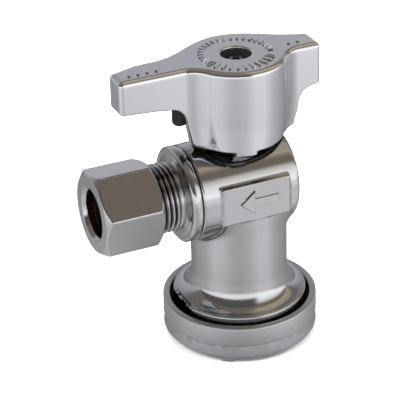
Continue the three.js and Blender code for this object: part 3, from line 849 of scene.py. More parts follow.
def add_floor(settings):
    """A wide pale floor; to all but camera rays it glows with painted light, darker near the valve as a
    painted contact shadow and behind it as the valve's painted shadow.
    """
    nodes, shader = new_material("floor_paint")
    place = nodes.add("ShaderNodeTexCoord").outputs["Object"]
    paper = nodes.noise(place, 60.0, 3.0)
    tint = tuple(settings.floor)
    nodes.feed(shader.inputs["Base Color"], blend(nodes, paper, shaded(tint, 0.98), tint))
    shader.inputs["Roughness"].default_value = 0.85
    shader.inputs["Specular IOR Level"].default_value = 0.1
    away = nodes.add("ShaderNodeVectorMath", place, (STEM_X * MM, 0, 0), operation="SUBTRACT").outputs[0]
    front = direction(settings.azimuth, 0)
    side = Vector((-front.y, front.x, 0))
    ahead, across = (dot(nodes, away, way) for way in (front, side))
    turn = nodes.math("DIVIDE", nodes.math("ARCTAN2", across, ahead), 2 * math.pi)
    painted_light_round = nodes.add("ShaderNodeValToRGB", nodes.math("ADD", turn, 0.5))
    ramp(painted_light_round, [(0.5 + degrees / 360, (level, level, level * FLOOR_BLUE))
                       for degrees, level in FLOOR_ROUND])
    reach = nodes.add("ShaderNodeVectorMath", away, operation="LENGTH").outputs["Value"]
    outward = nodes.add("ShaderNodeValToRGB", nodes.math("DIVIDE", reach, FLOOR_REACH * MM))
    ramp(outward, [(radius / FLOOR_REACH, (level, level, level)) for radius, level in FLOOR_OUTWARD])
    glow = nodes.add("ShaderNodeVectorMath", painted_light_round.outputs[0], outward.outputs[0], operation="MULTIPLY")
    # Painted light: the floor glows for reflections and bounce, though it is no lamp.
    lit = nodes.add("ShaderNodeEmission", glow.outputs[0], FLOOR_GLOW)
    seen = nodes.add("ShaderNodeLightPath").outputs["Is Camera Ray"]
    mixed = nodes.add("ShaderNodeMixShader", seen, lit, shader)
    end = next(node for node in nodes.tree.nodes if node.type == "OUTPUT_MATERIAL")
    nodes.tree.links.new(mixed.outputs[0], end.inputs["Surface"])
    corners = ((-1, -1), (1, -1), (1, 1), (-1, 1))
    points = [(FLOOR_HALF * x, FLOOR_HALF * y, FLOOR_LEVEL) for x, y in corners]
    mesh = mesh_from("floor", points, [(0, 1, 2, 3)])
    mesh.transform(Matrix.Scale(MM, 4))
    mesh.materials.append(bpy.data.materials["floor_paint"])
    floor = bpy.data.objects.new("floor", mesh)
    bpy.context.scene.collection.objects.link(floor)


def ramp(node, stops):
    """Sets a colour ramp's stops."""
    elements = node.color_ramp.elements
    while len(elements) > 1:
        elements.remove(elements[-1])
    for i, (place, tint) in enumerate(stops):
        element = elements[0] if i == 0 else elements.new(place)
        element.position = place
        element.color = (*tint, 1)


def add_sky(settings):
    """Soft light: bright and low behind the camera, dark above it, a warm ceiling and a pale back wall."""
    world = bpy.data.worlds.new("studio")
    world.use_nodes = True
    world.node_tree.nodes.clear()
    nodes = Shader(world.node_tree)
    end = nodes.add("ShaderNodeOutputWorld")
    view = nodes.add("ShaderNodeTexCoord").outputs["Generated"]
    parts = nodes.add("ShaderNodeSeparateXYZ", view).outputs
    sides = []
    for azimuth, bands in ((settings.azimuth, LEFT_BANDS), (0, RIGHT_BANDS)):
        ahead = dot(nodes, view, direction(azimuth, 0))
        lift = nodes.math("DIVIDE", nodes.math("ARCTAN2", parts[2], ahead), 2 * math.pi)
        sky = nodes.add("ShaderNodeValToRGB", nodes.math("ADD", lift, 0.5))
        ramp(sky, [(0.5 + degrees / 360, tint) for degrees, tint in bands + BACK_BANDS])
        sides.append(sky.outputs[0])
    rightward = nodes.add("ShaderNodeMapRange", parts[0], *BAND_CHANGE, 0.0, 1.0,
                          interpolation_type="SMOOTHSTEP")
    room = nodes.add("ShaderNodeBackground", blend(nodes, rightward.outputs[0], *sides), 1.0)
    plain = nodes.add("ShaderNodeBackground", (1, 1, 1, 1), 1.0)
    seen = nodes.add("ShaderNodeLightPath").outputs["Is Camera Ray"]
    mixed = nodes.add("ShaderNodeMixShader", seen, room, plain)
    nodes.tree.links.new(mixed.outputs[0], end.inputs["Surface"])
    bpy.context.scene.world = world


def add_lights():
    """Soft lamps that don't show in the plating."""
    centre = Vector((STEM_X, 0, LIGHT_TARGET)) * MM
    for name, azimuth, elevation, size, power in STUDIO_LIGHTS:
        data = bpy.data.lights.new(name, "AREA")
        data.shape = "RECTANGLE"
        data.size, data.size_y = size
        data.energy = power
        light = bpy.data.objects.new(name, data)
        back = direction(math.radians(azimuth), math.radians(elevation))
        light.visible_glossy = False
        facing = back.to_track_quat("Z", "Y").to_matrix().to_4x4()
        light.matrix_world = Matrix.Translation(centre + back * LIGHT_DISTANCE) @ facing
        bpy.context.scene.collection.objects.link(light)


# ---------- finishes ----------
class VALVE_OT_finishes(bpy.types.Operator):
    """Builds the shader groups and every material"""

    bl_idname = "valve.finishes"
    bl_label = "Finishes"

    def execute(self, context):
        settings = context.scene.valve_finish
        for build in GROUP_BUILDERS:
            build()
        wear = settings.wear
        gloss, satin = settings.gloss, settings.satin_gloss
        metal("bright_chrome", settings.chrome, gloss, wear, swell=240.0, grain=0.16, bump=0.3)
        metal("satin_chrome", settings.satin, satin, wear, swell=300.0, grain=0.5, bump=0.3)
        metal("collar_chrome", settings.collar, satin, wear, swell=300.0, grain=0.5, bump=0.3)
        metal("cut_chrome", settings.chrome, gloss, wear, swell=500.0, grain=0.3, bump=0.25, grooved=True)
        metal("tarnished_brass", settings.tarnish, 0.38, wear, swell=500.0, grain=0.6, bump=0.35)
        metal("brass", settings.brass, 0.28, wear, swell=500.0, grain=0.6, bump=0.35)
        metal("stainless", settings.steel, 0.22, wear, swell=700.0, grain=0.5, bump=0.35)
        metal("dark_steel", settings.dark_steel, 0.24, wear, swell=700.0, grain=0.5, bump=0.35)
        # Painted shade: near-black cast metal for the lever's cavity, recess and underside.
        dull("rough_casting", settings.casting, 0.7, scale=900.0, bump=0.8, spread=0.2)
        dull("ptfe", settings.ptfe, 0.5, scale=1500.0, bump=0.2, spread=0.03)
        dull("rubber", settings.rubber, 0.55, scale=2600.0, bump=0.5, spread=0.3)
        dull("acetal", settings.acetal, 0.42, scale=1800.0, bump=0.3, spread=0.06)
        return {"FINISHED"}


# ---------- body ----------
FLANGE_STEP = 0.35  # the flange's flat top shows this far outside its fillet
PAD_ENDS = (-8.1, 7)
STOP_LOBES = SimpleNamespace(radius=7.4, low=45.6, high=50.8, half=21.5)
SOCKET_TOP = 24
THROAT = 6.4
# Radius, the two ends and any rounding of each bore: for the pipe, along the outlet and for the stem.
GLAND_BORES = ((12.1, 0, 7.25), (10.1, 0, 9.95))
OUTLET_BORES = ((7.4, -7.5, 15, 0.5), (8.8, 10.6, 15))
STEM_BORES = ((3.4, OUTLET_Z, 60), (4.4, OUTLET_Z, 43.2))


class VALVE_OT_body(bpy.types.Operator):
    """Builds the cast body with its flange, barrel, pads and neck"""

    bl_idname = "valve.body"
    bl_label = "Valve Body"

    def execute(self, context):
        s = sizes_of(context.scene.valve_body)
        low = (-s.barrel_mouth, -s.flange, s.flange_low)
        high = (s.flange, s.flange, s.neck_top)
        mesh = skin("valve_body_skin", lambda x, y, z: body_field(s, x, y, z), low, high, s.detail)
        placed("valve_body_skin", mesh, TO_STEM, "bright_chrome", "valve", "chrome", "valve_body")
        placed("flow_arrow", arrow_mesh(s), TO_STEM, "bright_chrome", "valve", "chrome")
        return {"FINISHED"}


def body_field(s, x, y, z):
    """The cast body: its outside less its bores."""
    return without(body_outside(s, x, y, z), body_inside(s, x, y, z), 0.2)


def body_outside(s, x, y, z):
    """Column, flange, barrel, pads, neck and stop lobes."""
    radius = np.hypot(x, y)
    rise = z - OUTLET_Z
    column = disc(radius, z, s.tube, s.flange_low + 1, OUTLET_Z)
    foot = disc(radius, z, s.flange, s.flange_low, s.flange_high, 0.5)
    wide, tall = s.flange - FLANGE_STEP - s.tube, s.fillet_end - s.flange_high
    across, down = (radius - s.tube - wide) / wide, (z - s.fillet_end) / tall
    outward = np.hypot(across, down)
    hollow = outward * (outward - 1) / np.maximum(np.hypot(across / wide, down / tall), TINY)
    skirt = np.maximum(disc(radius, z, s.tube + wide, s.flange_high - 0.6, s.fillet_end), -hollow)
    column = np.minimum(np.minimum(column, foot), skirt)
    girth = np.hypot(y, rise)
    barrel = shared(shared(girth - s.barrel, x - s.barrel_rear, 1.1), -s.barrel_mouth - x, 0.35)
    whole = joined(column, barrel, 1.5)
    half = s.pad_height / 2
    rear, front = PAD_ENDS
    pads = block(x, y, rise, (rear, -s.pad_face, -half), (front, s.pad_face, half), 0.3)
    whole = joined(whole, pads, 0.35)
    neck = disc(radius, z, s.neck, OUTLET_Z + 5, s.neck_top, 0.4)
    whole = joined(whole, neck, 0.6)
    sides = np.minimum(wedge(x, y, 90, STOP_LOBES.half), wedge(x, y, 270, STOP_LOBES.half))
    lobes = shared(disc(radius, z, STOP_LOBES.radius, STOP_LOBES.low, STOP_LOBES.high, 0.3), sides, 0.3)
    return joined(whole, lobes, 0.3)


def body_inside(s, x, y, z):
    """Gland, pipe socket, throat, ball chamber, adapter seat and stem bore."""
    radius = np.hypot(x, y)
    girth = np.hypot(y, z - OUTLET_Z)
    gland = np.minimum(*(disc(radius, z, *size) for size in GLAND_BORES))
    socket = joined(disc(radius, z, s.socket, 0, SOCKET_TOP), disc(radius, z, THROAT, 0, OUTLET_Z))
    chamber = np.minimum(*(disc(girth, -x, *size) for size in OUTLET_BORES))
    bore = np.minimum(*(disc(radius, z, *size) for size in STEM_BORES))
    return np.minimum(np.minimum(gland, socket), np.minimum(chamber, bore))


def prism(name, points, low, high, edge):
    """A flat outline made solid along Z, with its top edge eased."""
    count = len(points)
    inner = np.array(offset(points, edge))
    outer = np.array(points, float)
    levels = ((outer, low), (outer, high - edge), (inner, high))
    rows = [np.column_stack([ring, np.full(count, level)]) for ring, level in levels]
    faces = [tuple(range(count))[::-1], tuple(2 * count + i for i in range(count))]
    for row in (0, count):
        faces += [(row + i, row + (i + 1) % count, row + count + (i + 1) % count, row + count + i)
                  for i in range(count)]
    return sharpened(mesh_from(name, np.vstack(rows), faces), 30)


def offset(points, inset):
    """A counter-clockwise outline moved inwards."""
    moved = []
    for i, point in enumerate(points):
        point = Vector(point)
        before = (point - Vector(points[i - 1])).normalized()
        after = (Vector(points[(i + 1) % len(points)]) - point).normalized()
        normal = (Vector((-before.y, before.x)) + Vector((-after.y, after.x))).normalized()
        spread = max(0.35, normal.dot(Vector((-before.y, before.x))))
        moved.append(tuple(point + normal * inset / spread))
    return moved


def arrow_mesh(s):
    """The raised arrow on the front pad that points to the outlet."""
    tip, notch, half, wing, tail = -4.2, -1.0, 0.9, 2.6, 4.2
    points = [(tip, 0), (notch, -wing), (notch, -half), (tail, -half)]
    points += [(x, -y) for x, y in reversed(points[1:])]
    mesh = prism("flow_arrow", points, s.pad_face - 0.2, s.pad_face + 0.34, 0.12)
    mesh.transform(Matrix.Translation((0, 0, OUTLET_Z)) @ Matrix.Rotation(math.pi / 2, 4, "X"))
    return mesh


# ---------- lever and screw ----------
STOP_PIN = SimpleNamespace(x=-12.3, y=0.6, radius=1.5, tip=0.8, low=49.4, high=56.9)
STOP_PIN_HOLE = SimpleNamespace(radius=1.8, low=50, high=57.3)
# The hub's cavity, its counterbore, the hole for the stem's flats and the screw's hole.
CAVITY = SimpleNamespace(boss=4.9, wall=8, top=57.5)
COUNTERBORE = SimpleNamespace(radius=5.9, top=51.9)
TANG = SimpleNamespace(radius=3.35, half=2.55, top=57.9)
SCREW_HOLE = SimpleNamespace(radius=1.8, low=50, top=60.5, seat=59.3)
LEVER_LOBES = SimpleNamespace(inside=5.8, outside=8.5, low=46.2, high=58, half=21.5)
TOOTH = SimpleNamespace(inside=8.2, wall=0.85, low=44.25, high=46.5, middle=-103, half=14)
BELOW, ABOVE = 30, 70  # heights that are clear of the lever


class VALVE_OT_lever(bpy.types.Operator):
    """Builds the cast lever with its hollow hub and stop lobes"""

    bl_idname = "valve.lever"
    bl_label = "Lever"

    def execute(self, context):
        s = sizes_of(context.scene.valve_lever)
        low = (-s.long_arm, -s.hub, s.bottom - 1)
        high = (s.short_arm, s.hub, TOP_Z)
        outlines = arms_plan(s), lever_side(s), web_side(s)
        points, quads, normals = surface_of(lambda x, y, z: lever_field(s, outlines, x, y, z), low, high,
                                            s.detail)
        mesh = mesh_from("lever_skin", points, quads, normals)
        placed("lever_skin", mesh, TO_STEM, "satin_chrome", "handle", "satin_chrome", "lever_handle")
        # The lever's cavity, recess and downward faces get near-black painted shade.
        mesh.materials.append(bpy.data.materials["rough_casting"])
        shade_mask = painted_shade_faces(s, points[quads].mean(axis=1), normals[quads].mean(axis=1))
        mesh.polygons.foreach_set("material_index", shade_mask.astype(np.int32))
        pin = STOP_PIN
        tip = arc(pin.radius - pin.tip, pin.low + pin.tip, pin.tip, 270, 360, 8)
        mesh = lathe("stop_pin_skin", [(0, pin.low)] + tip + [(pin.radius, pin.high), (0, pin.high)], 64)
        place = TO_STEM @ Matrix.Translation((pin.x, pin.y, 0))
        placed("stop_pin_skin", mesh, place, "rubber", "handle", "rubber", "stop_pin")
        return {"FINISHED"}


def painted_shade_faces(s, middles, normals):
    """Which faces get the near-black cast metal colour as painted shade: in the cavity, in the screw's
    recess, and those that face down.
    """
    reach = np.hypot(middles[:, 0], middles[:, 1])
    height = middles[:, 2]
    inside = (reach < CAVITY.wall + 0.6) & (height < CAVITY.top + 1) & (height > s.bottom + 0.4)
    sunken = (reach < s.recess + 0.15) & (height < TOP_Z - s.mark_height - 0.5)
    return inside | sunken | (normals[:, 2] < -0.75)


def arms_plan(s):
    """The two arms seen from above, running on through the hub."""
    long_tip, short_tip = -s.long_arm, s.short_arm
    points = arc(long_tip + 0.9, -2.2, 0.9, 180, 270, 6)
    points += arc(short_tip - 0.9, -2.4, 0.9, 270, 360, 6)
    points += arc(short_tip - 1.2, 2.0, 1.2, 0, 70, 6)
    points += [(13.2, 3.9), (-14, 4.5), (-20.5, 4.2)]
    points += arc(long_tip + 0.9, 1.8, 0.9, 100, 180, 6)
    return points


def lever_side(s):
    """The arms seen from the front, with their top left open; the short arm's web runs down the hub."""
    high = TOP_Z + 3
    points = [(-s.long_arm - 3, high), (-s.long_arm - 3, 55.65), (-s.long_arm, 55.6), (-16, 54.8), (-6, 54.3)]
    points += [(-6, 50), (4, s.bottom + 0.8), (11.2, s.bottom + 0.8)]
    points += [(12.3, 49)] + curve((12.4, 50), (12.8, 53.4), (16.2, 53.6), 14)
    points += [(s.short_arm + 3, 54), (s.short_arm + 3, high)]
    return points


def web_side(s):
    """The wall that sweeps from under the long arm's front down the hub, seen from the front."""
    points = [(-16.4, 58), (-16.4, 54.85)] + curve((-16, 54.8), (-12.8, 54.4), (-12.1, 51.2), 12)
    return points + [(-11.1, s.bottom + 1.4), (-10.5, s.bottom + 0.8), (-4, s.bottom + 0.8), (-4, 58)]


def lever_field(s, outlines, x, y, z):
    """The whole lever."""
    plan, side, web = outlines
    radius = np.hypot(x, y)
    top = TOP_Z - s.mark_height
    above = outline(x, y, plan)
    under = joined(outline(x, z, side), shared(outline(x, z, web), y + 1.2, 0.4), 0.4)
    arms = shared(above, under, 0.55)
    hub = outline(radius, z, hub_profile(s))
    shell = joined(arms, shared(hub, s.bottom - z, 0.5), arm_fillet(y, z))
    shell = shared(shell, z - top, s.edge)
    from_pin = np.hypot(x - STOP_PIN.x, y - STOP_PIN.y)
    hole = STOP_PIN_HOLE
    shell = without(shell, disc(from_pin, z, hole.radius, hole.low, hole.high), 0.15)
    hollow = shared(between(radius, CAVITY.boss, CAVITY.wall), between(z, BELOW, CAVITY.top), 0.3)
    hollow = np.minimum(hollow, disc(radius, z, COUNTERBORE.radius, BELOW, COUNTERBORE.top))
    shell = without(shell, hollow, 0.25)
    shell = joined(joined(shell, lever_lobes(radius, x, y, z)), hub_tooth(s, radius, x, y, z), 0.4)
    flats = shared(disc(radius, z, TANG.radius, BELOW, TANG.top), between(y, -TANG.half, TANG.half), 0.2)
    screw = disc(radius, z, SCREW_HOLE.radius, SCREW_HOLE.low, SCREW_HOLE.top)
    shell = without(shell, np.minimum(flats, screw), 0.1)
    return without(shell, disc(radius, z, s.recess, SCREW_HOLE.seat, ABOVE, 0.15), 0.35)


def hub_profile(s):
    """Half section of the hub's outside, which narrows a little towards its lower edge."""
    taper = curve((s.hub - 0.75, s.bottom + 0.2), (s.hub - 0.1, 49), (s.hub, 53), 12)
    return [(-1, s.bottom), (s.hub - 0.8, s.bottom)] + taper + [(s.hub, ABOVE), (-1, ABOVE)]


def arm_fillet(y, z):
    """The fillet from arm to hub: small in front, wider behind and widest at the back's top."""
    return 2.6 + (0.4 + 3 * np.clip((z - 55) / 3, 0, 1)) * np.clip((y + 1) / 2, 0, 1)


def lever_lobes(radius, x, y, z):
    """The two lobes inside the hub that meet the body's stop lobes."""
    lobe = LEVER_LOBES
    sides = np.minimum(wedge(x, y, 45, lobe.half), wedge(x, y, 225, lobe.half))
    ring = shared(between(radius, lobe.inside, lobe.outside), between(z, lobe.low, lobe.high), 0.2)
    return shared(ring, sides, 0.2)


def hub_tooth(s, radius, x, y, z):
    """The short tooth that hangs from the hub's edge."""
    ring = shared(between(radius, TOOTH.inside, s.hub - TOOTH.wall), between(z, TOOTH.low, TOOTH.high), 0.35)
    return shared(ring, wedge(x, y, TOOTH.middle, TOOTH.half), 0.5)


# Where each scale starts and how far it sweeps, in degrees, and how long its strokes are.
FRONT_SCALE = (-158, 116, 2.2)
BACK_SCALE = (-14, 196, 1.3)
ARM_STROKES = (-22.4, -20.5, -18.6, -16.7, 12.0, 14.0)
ARM_STROKE_TURN = 62
SCALE_ARROWS = (("scale_arrow_open", -36, 1), ("scale_arrow_shut", -164, -1))


class VALVE_OT_marks(bpy.types.Operator):
    """Builds the raised marks on the lever's top face"""

    bl_idname = "valve.marks"
    bl_label = "Lever Marks"

    def execute(self, context):
        s = sizes_of(context.scene.valve_lever)
        level = TOP_Z - s.mark_height - 0.1
        high = s.mark_height + 0.08
        scale = spoke_tree("Hub scale", "satin_chrome", Count=s.ticks, First=0.0, Step=0.0, Radius=7.0,
                           Level=level, Long=2.2, Wide=0.62, High=high, Edge=0.18)
        for name, count, start, sweep, long in (("hub_scale", s.ticks, *FRONT_SCALE),
                                                ("hub_scale_back", s.back_ticks, *BACK_SCALE)):
            put_mark(name, scale.apply(empty_mesh(name), Count=count, First=math.radians(start),
                                       Step=math.radians(sweep / (count - 1)), Long=long))
        bars = spoke_tree("Arm strokes", "satin_chrome", Count=1, First=math.radians(ARM_STROKE_TURN),
                          Step=0.0, Radius=0.0, Level=level, Long=3.4, Wide=0.8, High=high, Edge=0.25)
        for i, reach in enumerate(ARM_STROKES):
            mesh = bars.apply(empty_mesh("arm_stroke"))
            mesh.transform(Matrix.Translation((reach, 0.5, 0)))
            put_mark(f"arm_stroke_{i + 1}", mesh)
        for name, turn, flip in SCALE_ARROWS:
            corners = [(-0.9, -0.9 * flip), (0.9, -0.9 * flip), (0, 1.1 * flip)][::flip]
            mesh = prism(name, corners, level, level + high, 0.05)
            mesh.transform(Matrix.Rotation(math.radians(turn), 4, "Z") @ Matrix.Translation((7.1, 0, 0)))
            put_mark(name, mesh)
        return {"FINISHED"}


def put_mark(name, mesh):
    """Puts a mark on the lever."""
    placed(name, mesh, TO_STEM, "satin_chrome", "handle", "satin_chrome")


SCREW = SimpleNamespace(tip=52.4, seat=59.85, apex=61.7, dome=4.1, dome_centre=57.6, detail=0.075)
SHANK = SimpleNamespace(radius=1.42, top=60, depth=0.22, pitch=0.7)
RECESS = SimpleNamespace(turn=20, long=1.55, wide=0.36, floor=60.4)


class VALVE_OT_screw(bpy.types.Operator):
    """Builds the cross-recessed screw and its split lock washer"""

    bl_idname = "valve.screw"
    bl_label = "Handle Screw"

    def execute(self, context):
        s = sizes_of(context.scene.valve_lever)
        head = s.screw_head
        low, high = (-head, -head, SCREW.tip), (head, head, SCREW.apex)
        mesh = skin("screw_skin", lambda x, y, z: screw_field(s, x, y, z), low, high, SCREW.detail)
        placed("screw_skin", mesh, TO_STEM, "dark_steel", "handle", "steel", "handle_screw")
        washer = split_washer()
        placed("lock_washer_skin", washer, TO_STEM, "stainless", "handle", "steel", "handle_lock_washer")
        return {"FINISHED"}


def screw_field(s, x, y, z):
    """A pan-head screw with a tapered cross recess and a threaded shank."""
    radius = np.hypot(x, y)
    dome = np.sqrt(radius**2 + (z - SCREW.dome_centre) ** 2) - SCREW.dome
    head = shared(disc(radius, z, s.screw_head, SCREW.seat, SCREW.apex + 0.2, 0.25), dome, 0.35)
    turn = math.radians(RECESS.turn)
    along = x * math.cos(turn) + y * math.sin(turn)
    across = y * math.cos(turn) - x * math.sin(turn)
    depth = np.maximum(SCREW.apex - z, 0)
    long, wide = RECESS.long - 0.55 * depth, RECESS.wide - 0.08 * depth
    bars = np.minimum(np.maximum(np.abs(along) - long, np.abs(across) - wide),
                      np.maximum(np.abs(across) - long, np.abs(along) - wide))
    head = without(head, shared(bars, RECESS.floor - z, 0.1), 0.08)
    phase = thread_phase(x, y, z, SHANK.pitch)
    shank = disc(radius + SHANK.depth * np.abs(2 * phase - 1), z, SHANK.radius, SCREW.tip, SHANK.top, 0.3)
    return np.minimum(head, shank)


def thread_phase(x, y, z, pitch):
    """How far round its pitch a right-handed thread is, from 0 to 1."""
    return np.mod(z / pitch - np.arctan2(y, x) / (2 * math.pi), 1)


def split_washer():
    """A spring washer: a square section swept nearly all the way round, its ends a little apart."""
    start, sweep, steps = math.radians(-28), math.radians(346), 120
    inner, outer, half = 1.75, 2.65, 0.2
    level, lead = 59.55, 0.05
    section = rounded([(inner, -half), (outer, -half), (outer, half), (inner, half)], 0.08)
    points = []
    for i in range(steps + 1):
        turn = start + sweep * i / steps
        rise = level + lead * (i / steps - 0.5)
        points += [(r * math.cos(turn), r * math.sin(turn), rise + h) for r, h in section]
    count = len(section)
    faces = []
    for row in range(0, steps * count, count):
        for j in range(count):
            k = (j + 1) % count
            faces.append((row + j, row + count + j, row + count + k, row + k))
    faces += [tuple(range(count)), tuple(steps * count + j for j in reversed(range(count)))]
    return sharpened(mesh_from("lock_washer_skin", points, faces))


# ---------- outlet ----------
class VALVE_OT_outlet(bpy.types.Operator):
    """Builds the threaded outlet adapter and its O-ring"""

    bl_idname = "valve.outlet"
    bl_label = "Outlet Adapter"

    def execute(self, context):
        s = sizes_of(context.scene.valve_outlet)
        tree = thread_tree("cut_chrome", Pitch=s.pitch, Depth=s.depth, Crest=s.thread, Start=15.1, Fade=0.9)
        mesh = tree.apply(lathe("outlet_adapter_skin", adapter_profile(s), 160))
        placed("outlet_adapter_skin", mesh, TO_OUTLET, "cut_chrome", "valve", "chrome", "outlet_adapter")
        ring = lathe("adapter_seal", torus(7.98, 0.6, 11.3), 96)
        placed("adapter_seal", ring, TO_OUTLET, "rubber", "valve", "rubber", "adapter_o_ring")
        return {"FINISHED"}


def adapter_profile(s):
    """Half section of the adapter along the outlet, from the seat to the tube end."""
    back, front, end = 12.1, 14.2, 26.8
    face = [(s.flange - 0.4, front), (8.9, front), (8.75, front - 0.12), (8.5, front - 0.12), (8.35, front)]
    relief = [(s.thread + 0.5, front), (s.thread - 0.1, front + 0.45)]
    row = 0.085
    rows = int((end - 1.3 - (front + 0.5)) / row)
    threads = [(s.thread, front + 0.55 + row * i) for i in range(rows)]
    chamfer = [(s.thread - 0.7 * i / 12, end - 1.3 + 1.3 * i / 12) for i in range(13)]
    mouth = [(6.2, end), (4.95, end - 1.9), (4.95, 19.5), (3.3, 19.5), (3.3, 8.25)]
    seat = [(7.15, 8.25), (7.15, back)]
    rim = [(s.flange - 0.25, back), (s.flange, back + 0.25), (s.flange, front - 0.35)]
    return seat + rim + face + relief + threads + chamfer + mouth


NUT_BACK, NUT_FRONT = 19.4, 32.1
THREAD_SLOPE = 0.65  # turns a radial distance to a thread's flank into the nearest one


class VALVE_OT_nut(bpy.types.Operator):
    """Builds the compression nut and the sleeve that it presses"""

    bl_idname = "valve.nut"
    bl_label = "Compression Nut"

    def execute(self, context):
        s = sizes_of(context.scene.valve_outlet)
        reach = s.flats / math.sqrt(3)
        low, high = (-reach, -reach, NUT_BACK), (reach, reach, NUT_FRONT)
        mesh = skin("nut_skin", lambda x, y, z: nut_field(s, x, y, z), low, high, s.detail)
        placed("nut_skin", mesh, TO_OUTLET, "bright_chrome", "nut", "chrome", "compression_nut")
        mesh = lathe("sleeve_skin", sleeve_profile(), 96)
        placed("sleeve_skin", mesh, TO_OUTLET, "tarnished_brass", "ferrule", "brass", "compression_sleeve")
        return {"FINISHED"}


def sleeve_profile():
    """Half section of the sleeve: a thin ring with a bulge round its middle."""
    bore, back, middle, front = 4.86, 25.7, 27.7, 29.3
    bulge = arc(bore + 0.25, middle, 0.74, -60, 60, 12, 1.2)
    return [(bore, back), (bore + 0.25, back)] + bulge + [(bore + 0.45, front), (bore, front)]


def nut_field(s, x, y, z):
    """A hexagon with turned chamfers, an internal thread and a tube bore."""
    back, front, half = NUT_BACK, NUT_FRONT, s.flats / 2
    radius = np.hypot(x, y)
    body = None
    for i in range(3):
        turn = s.corner + math.radians(60 * i)
        flat = np.abs(x * math.cos(turn) + y * math.sin(turn)) - half
        body = flat if body is None else shared(body, flat, 0.22)
    chamfers = [(half - 0.2, back), (half + 2, back + 1.9), (half + 2, front - 1.6), (half - 0.2, front)]
    body = shared(body, outline(radius, z, [(-1, back)] + chamfers + [(-1, front)]), 0.14)
    end, minor = front - 4.3, s.thread - s.depth + 0.35
    crest = minor + s.depth * (1 - np.abs(2 * thread_phase(x, y, z, s.pitch) - 1))
    thread = shared((radius - crest) * THREAD_SLOPE, between(z, back - 2, end))
    entry = [(-1, back - 2), (8.6, back - 2), (8.6, back), (s.thread - 0.2, back + 1)]
    shoulder = [(s.thread - 0.2, end), (s.tube + 1.3, front - 3.6), (s.tube, front - 2.5)]
    mouth = [(s.tube, front - 0.75), (s.tube + 0.7, front + 0.1), (s.tube + 0.7, front + 2), (-1, front + 2)]
    return without(body, np.minimum(thread, outline(radius, z, entry + shoulder + mouth)), 0.1)


# ---------- ball and seat ----------
BALL, BALL_BORE = 6.5, 3.3
BALL_SLOT, BALL_SLOT_FLOOR = 1.35, 4.3


class VALVE_OT_ball(bpy.types.Operator):
    """Builds the ball and the seat that faces the outlet"""

    bl_idname = "valve.ball"
    bl_label = "Ball and Seat"

    def execute(self, context):
        low, high = (-BALL, -BALL, OUTLET_Z - BALL), (BALL, BALL, OUTLET_Z + BALL)
        mesh = skin("ball_skin", ball_field, low, high, 0.2)
        placed("ball_skin", mesh, TO_STEM, "bright_chrome", "handle", "chrome", "valve_ball")
        mesh = lathe("seat_skin", seat_profile(), 96)
        placed("seat_skin", mesh, TO_OUTLET, "ptfe", "valve", "ptfe", "outlet_seat")
        return {"FINISHED"}


def seat_profile():
    """Half section of the seat, which hugs the ball."""
    hug = BALL + 0.15
    inner, outer, front = 3.4, 7.1, 8.1
    lip, mouth = (math.degrees(math.acos(radius / hug)) for radius in (5.05, inner))
    cup = arc(0, 0, hug, mouth, lip, 12)
    return [(outer, front), (inner, front)] + cup + [(outer, hug * math.sin(math.radians(lip)))]


def ball_field(x, y, z):
    """A ball with an elbow bore and a slot for the stem's tang."""
    rise = z - OUTLET_Z
    ball = np.sqrt(x * x + y * y + rise * rise) - BALL
    to_outlet = np.maximum(np.hypot(y, rise) - BALL_BORE, x)
    to_inlet = np.maximum(np.hypot(x, y) - BALL_BORE, rise)
    elbow = joined(to_outlet, to_inlet, 0.5)
    slot = np.maximum(np.abs(x) - BALL_SLOT, BALL_SLOT_FLOOR - rise)
    return without(ball, np.minimum(elbow, slot), 0.25)


# ---------- inlet ----------
class VALVE_OT_collar(bpy.types.Operator):
    """Builds the release collar and its four feet"""

    bl_idname = "valve.collar"
    bl_label = "Release Collar"

    def execute(self, context):
        s = sizes_of(context.scene.valve_inlet)
        base, edge = s.foot, 0.8
        outer = arc(s.collar - edge, base + edge, edge, 270, 360, 10)
        rim = [(s.collar, base + 3), (s.collar, s.rim), (s.collar_bore, s.rim), (s.collar_bore, base + 3)]
        rim = rounded(rim, 0.4)
        inside = [(s.collar_bore, 2.1), (10.6, 2.1), (10.6, 1.6), (9.1, 1.6), (9.1, base)]
        cup = lathe("collar_skin", outer + rim + inside, 192)
        placed("collar_skin", cup, TO_STEM, "collar_chrome", "collar", "satin_chrome", "release_collar")
        feet = spoke_tree("Collar feet", "collar_chrome", Count=4, First=math.radians(55), Step=math.pi / 2,
                          Radius=13.9, Level=0.0, Long=3.0, Wide=2.7, High=base + 0.2, Edge=0.35)
        mesh = feet.apply(empty_mesh("collar_feet"))
        placed("collar_feet", mesh, TO_STEM, "collar_chrome", "collar", "satin_chrome")
        return {"FINISHED"}


# Piece, frame node, material, body, slot and half section of each ring.
INLET_RINGS = (
    ("release_sleeve_skin", "release_sleeve", "acetal", "collar", "acetal",
     [(8.2, 1.7), (10.3, 1.7), (10.3, 2.4), (8.8, 2.4), (8.8, 4.85), (9.55, 4.85), (9.1, 5.45), (8.2, 5.45)]),
    ("retainer_skin", "inlet_retainer", "brass", "valve", "brass",
     [(9.1, 3.9), (11.6, 3.9), (11.9, 4.2), (11.9, 6.65), (9.85, 6.65), (9.85, 4.6), (9.1, 4.6)]),
    ("backup_ring_skin", "inlet_backup_ring", "acetal", "valve", "acetal",
     [(8.4, 7.75), (9.5, 7.35), (10, 7.35), (10, 8), (8.4, 8)]),
)


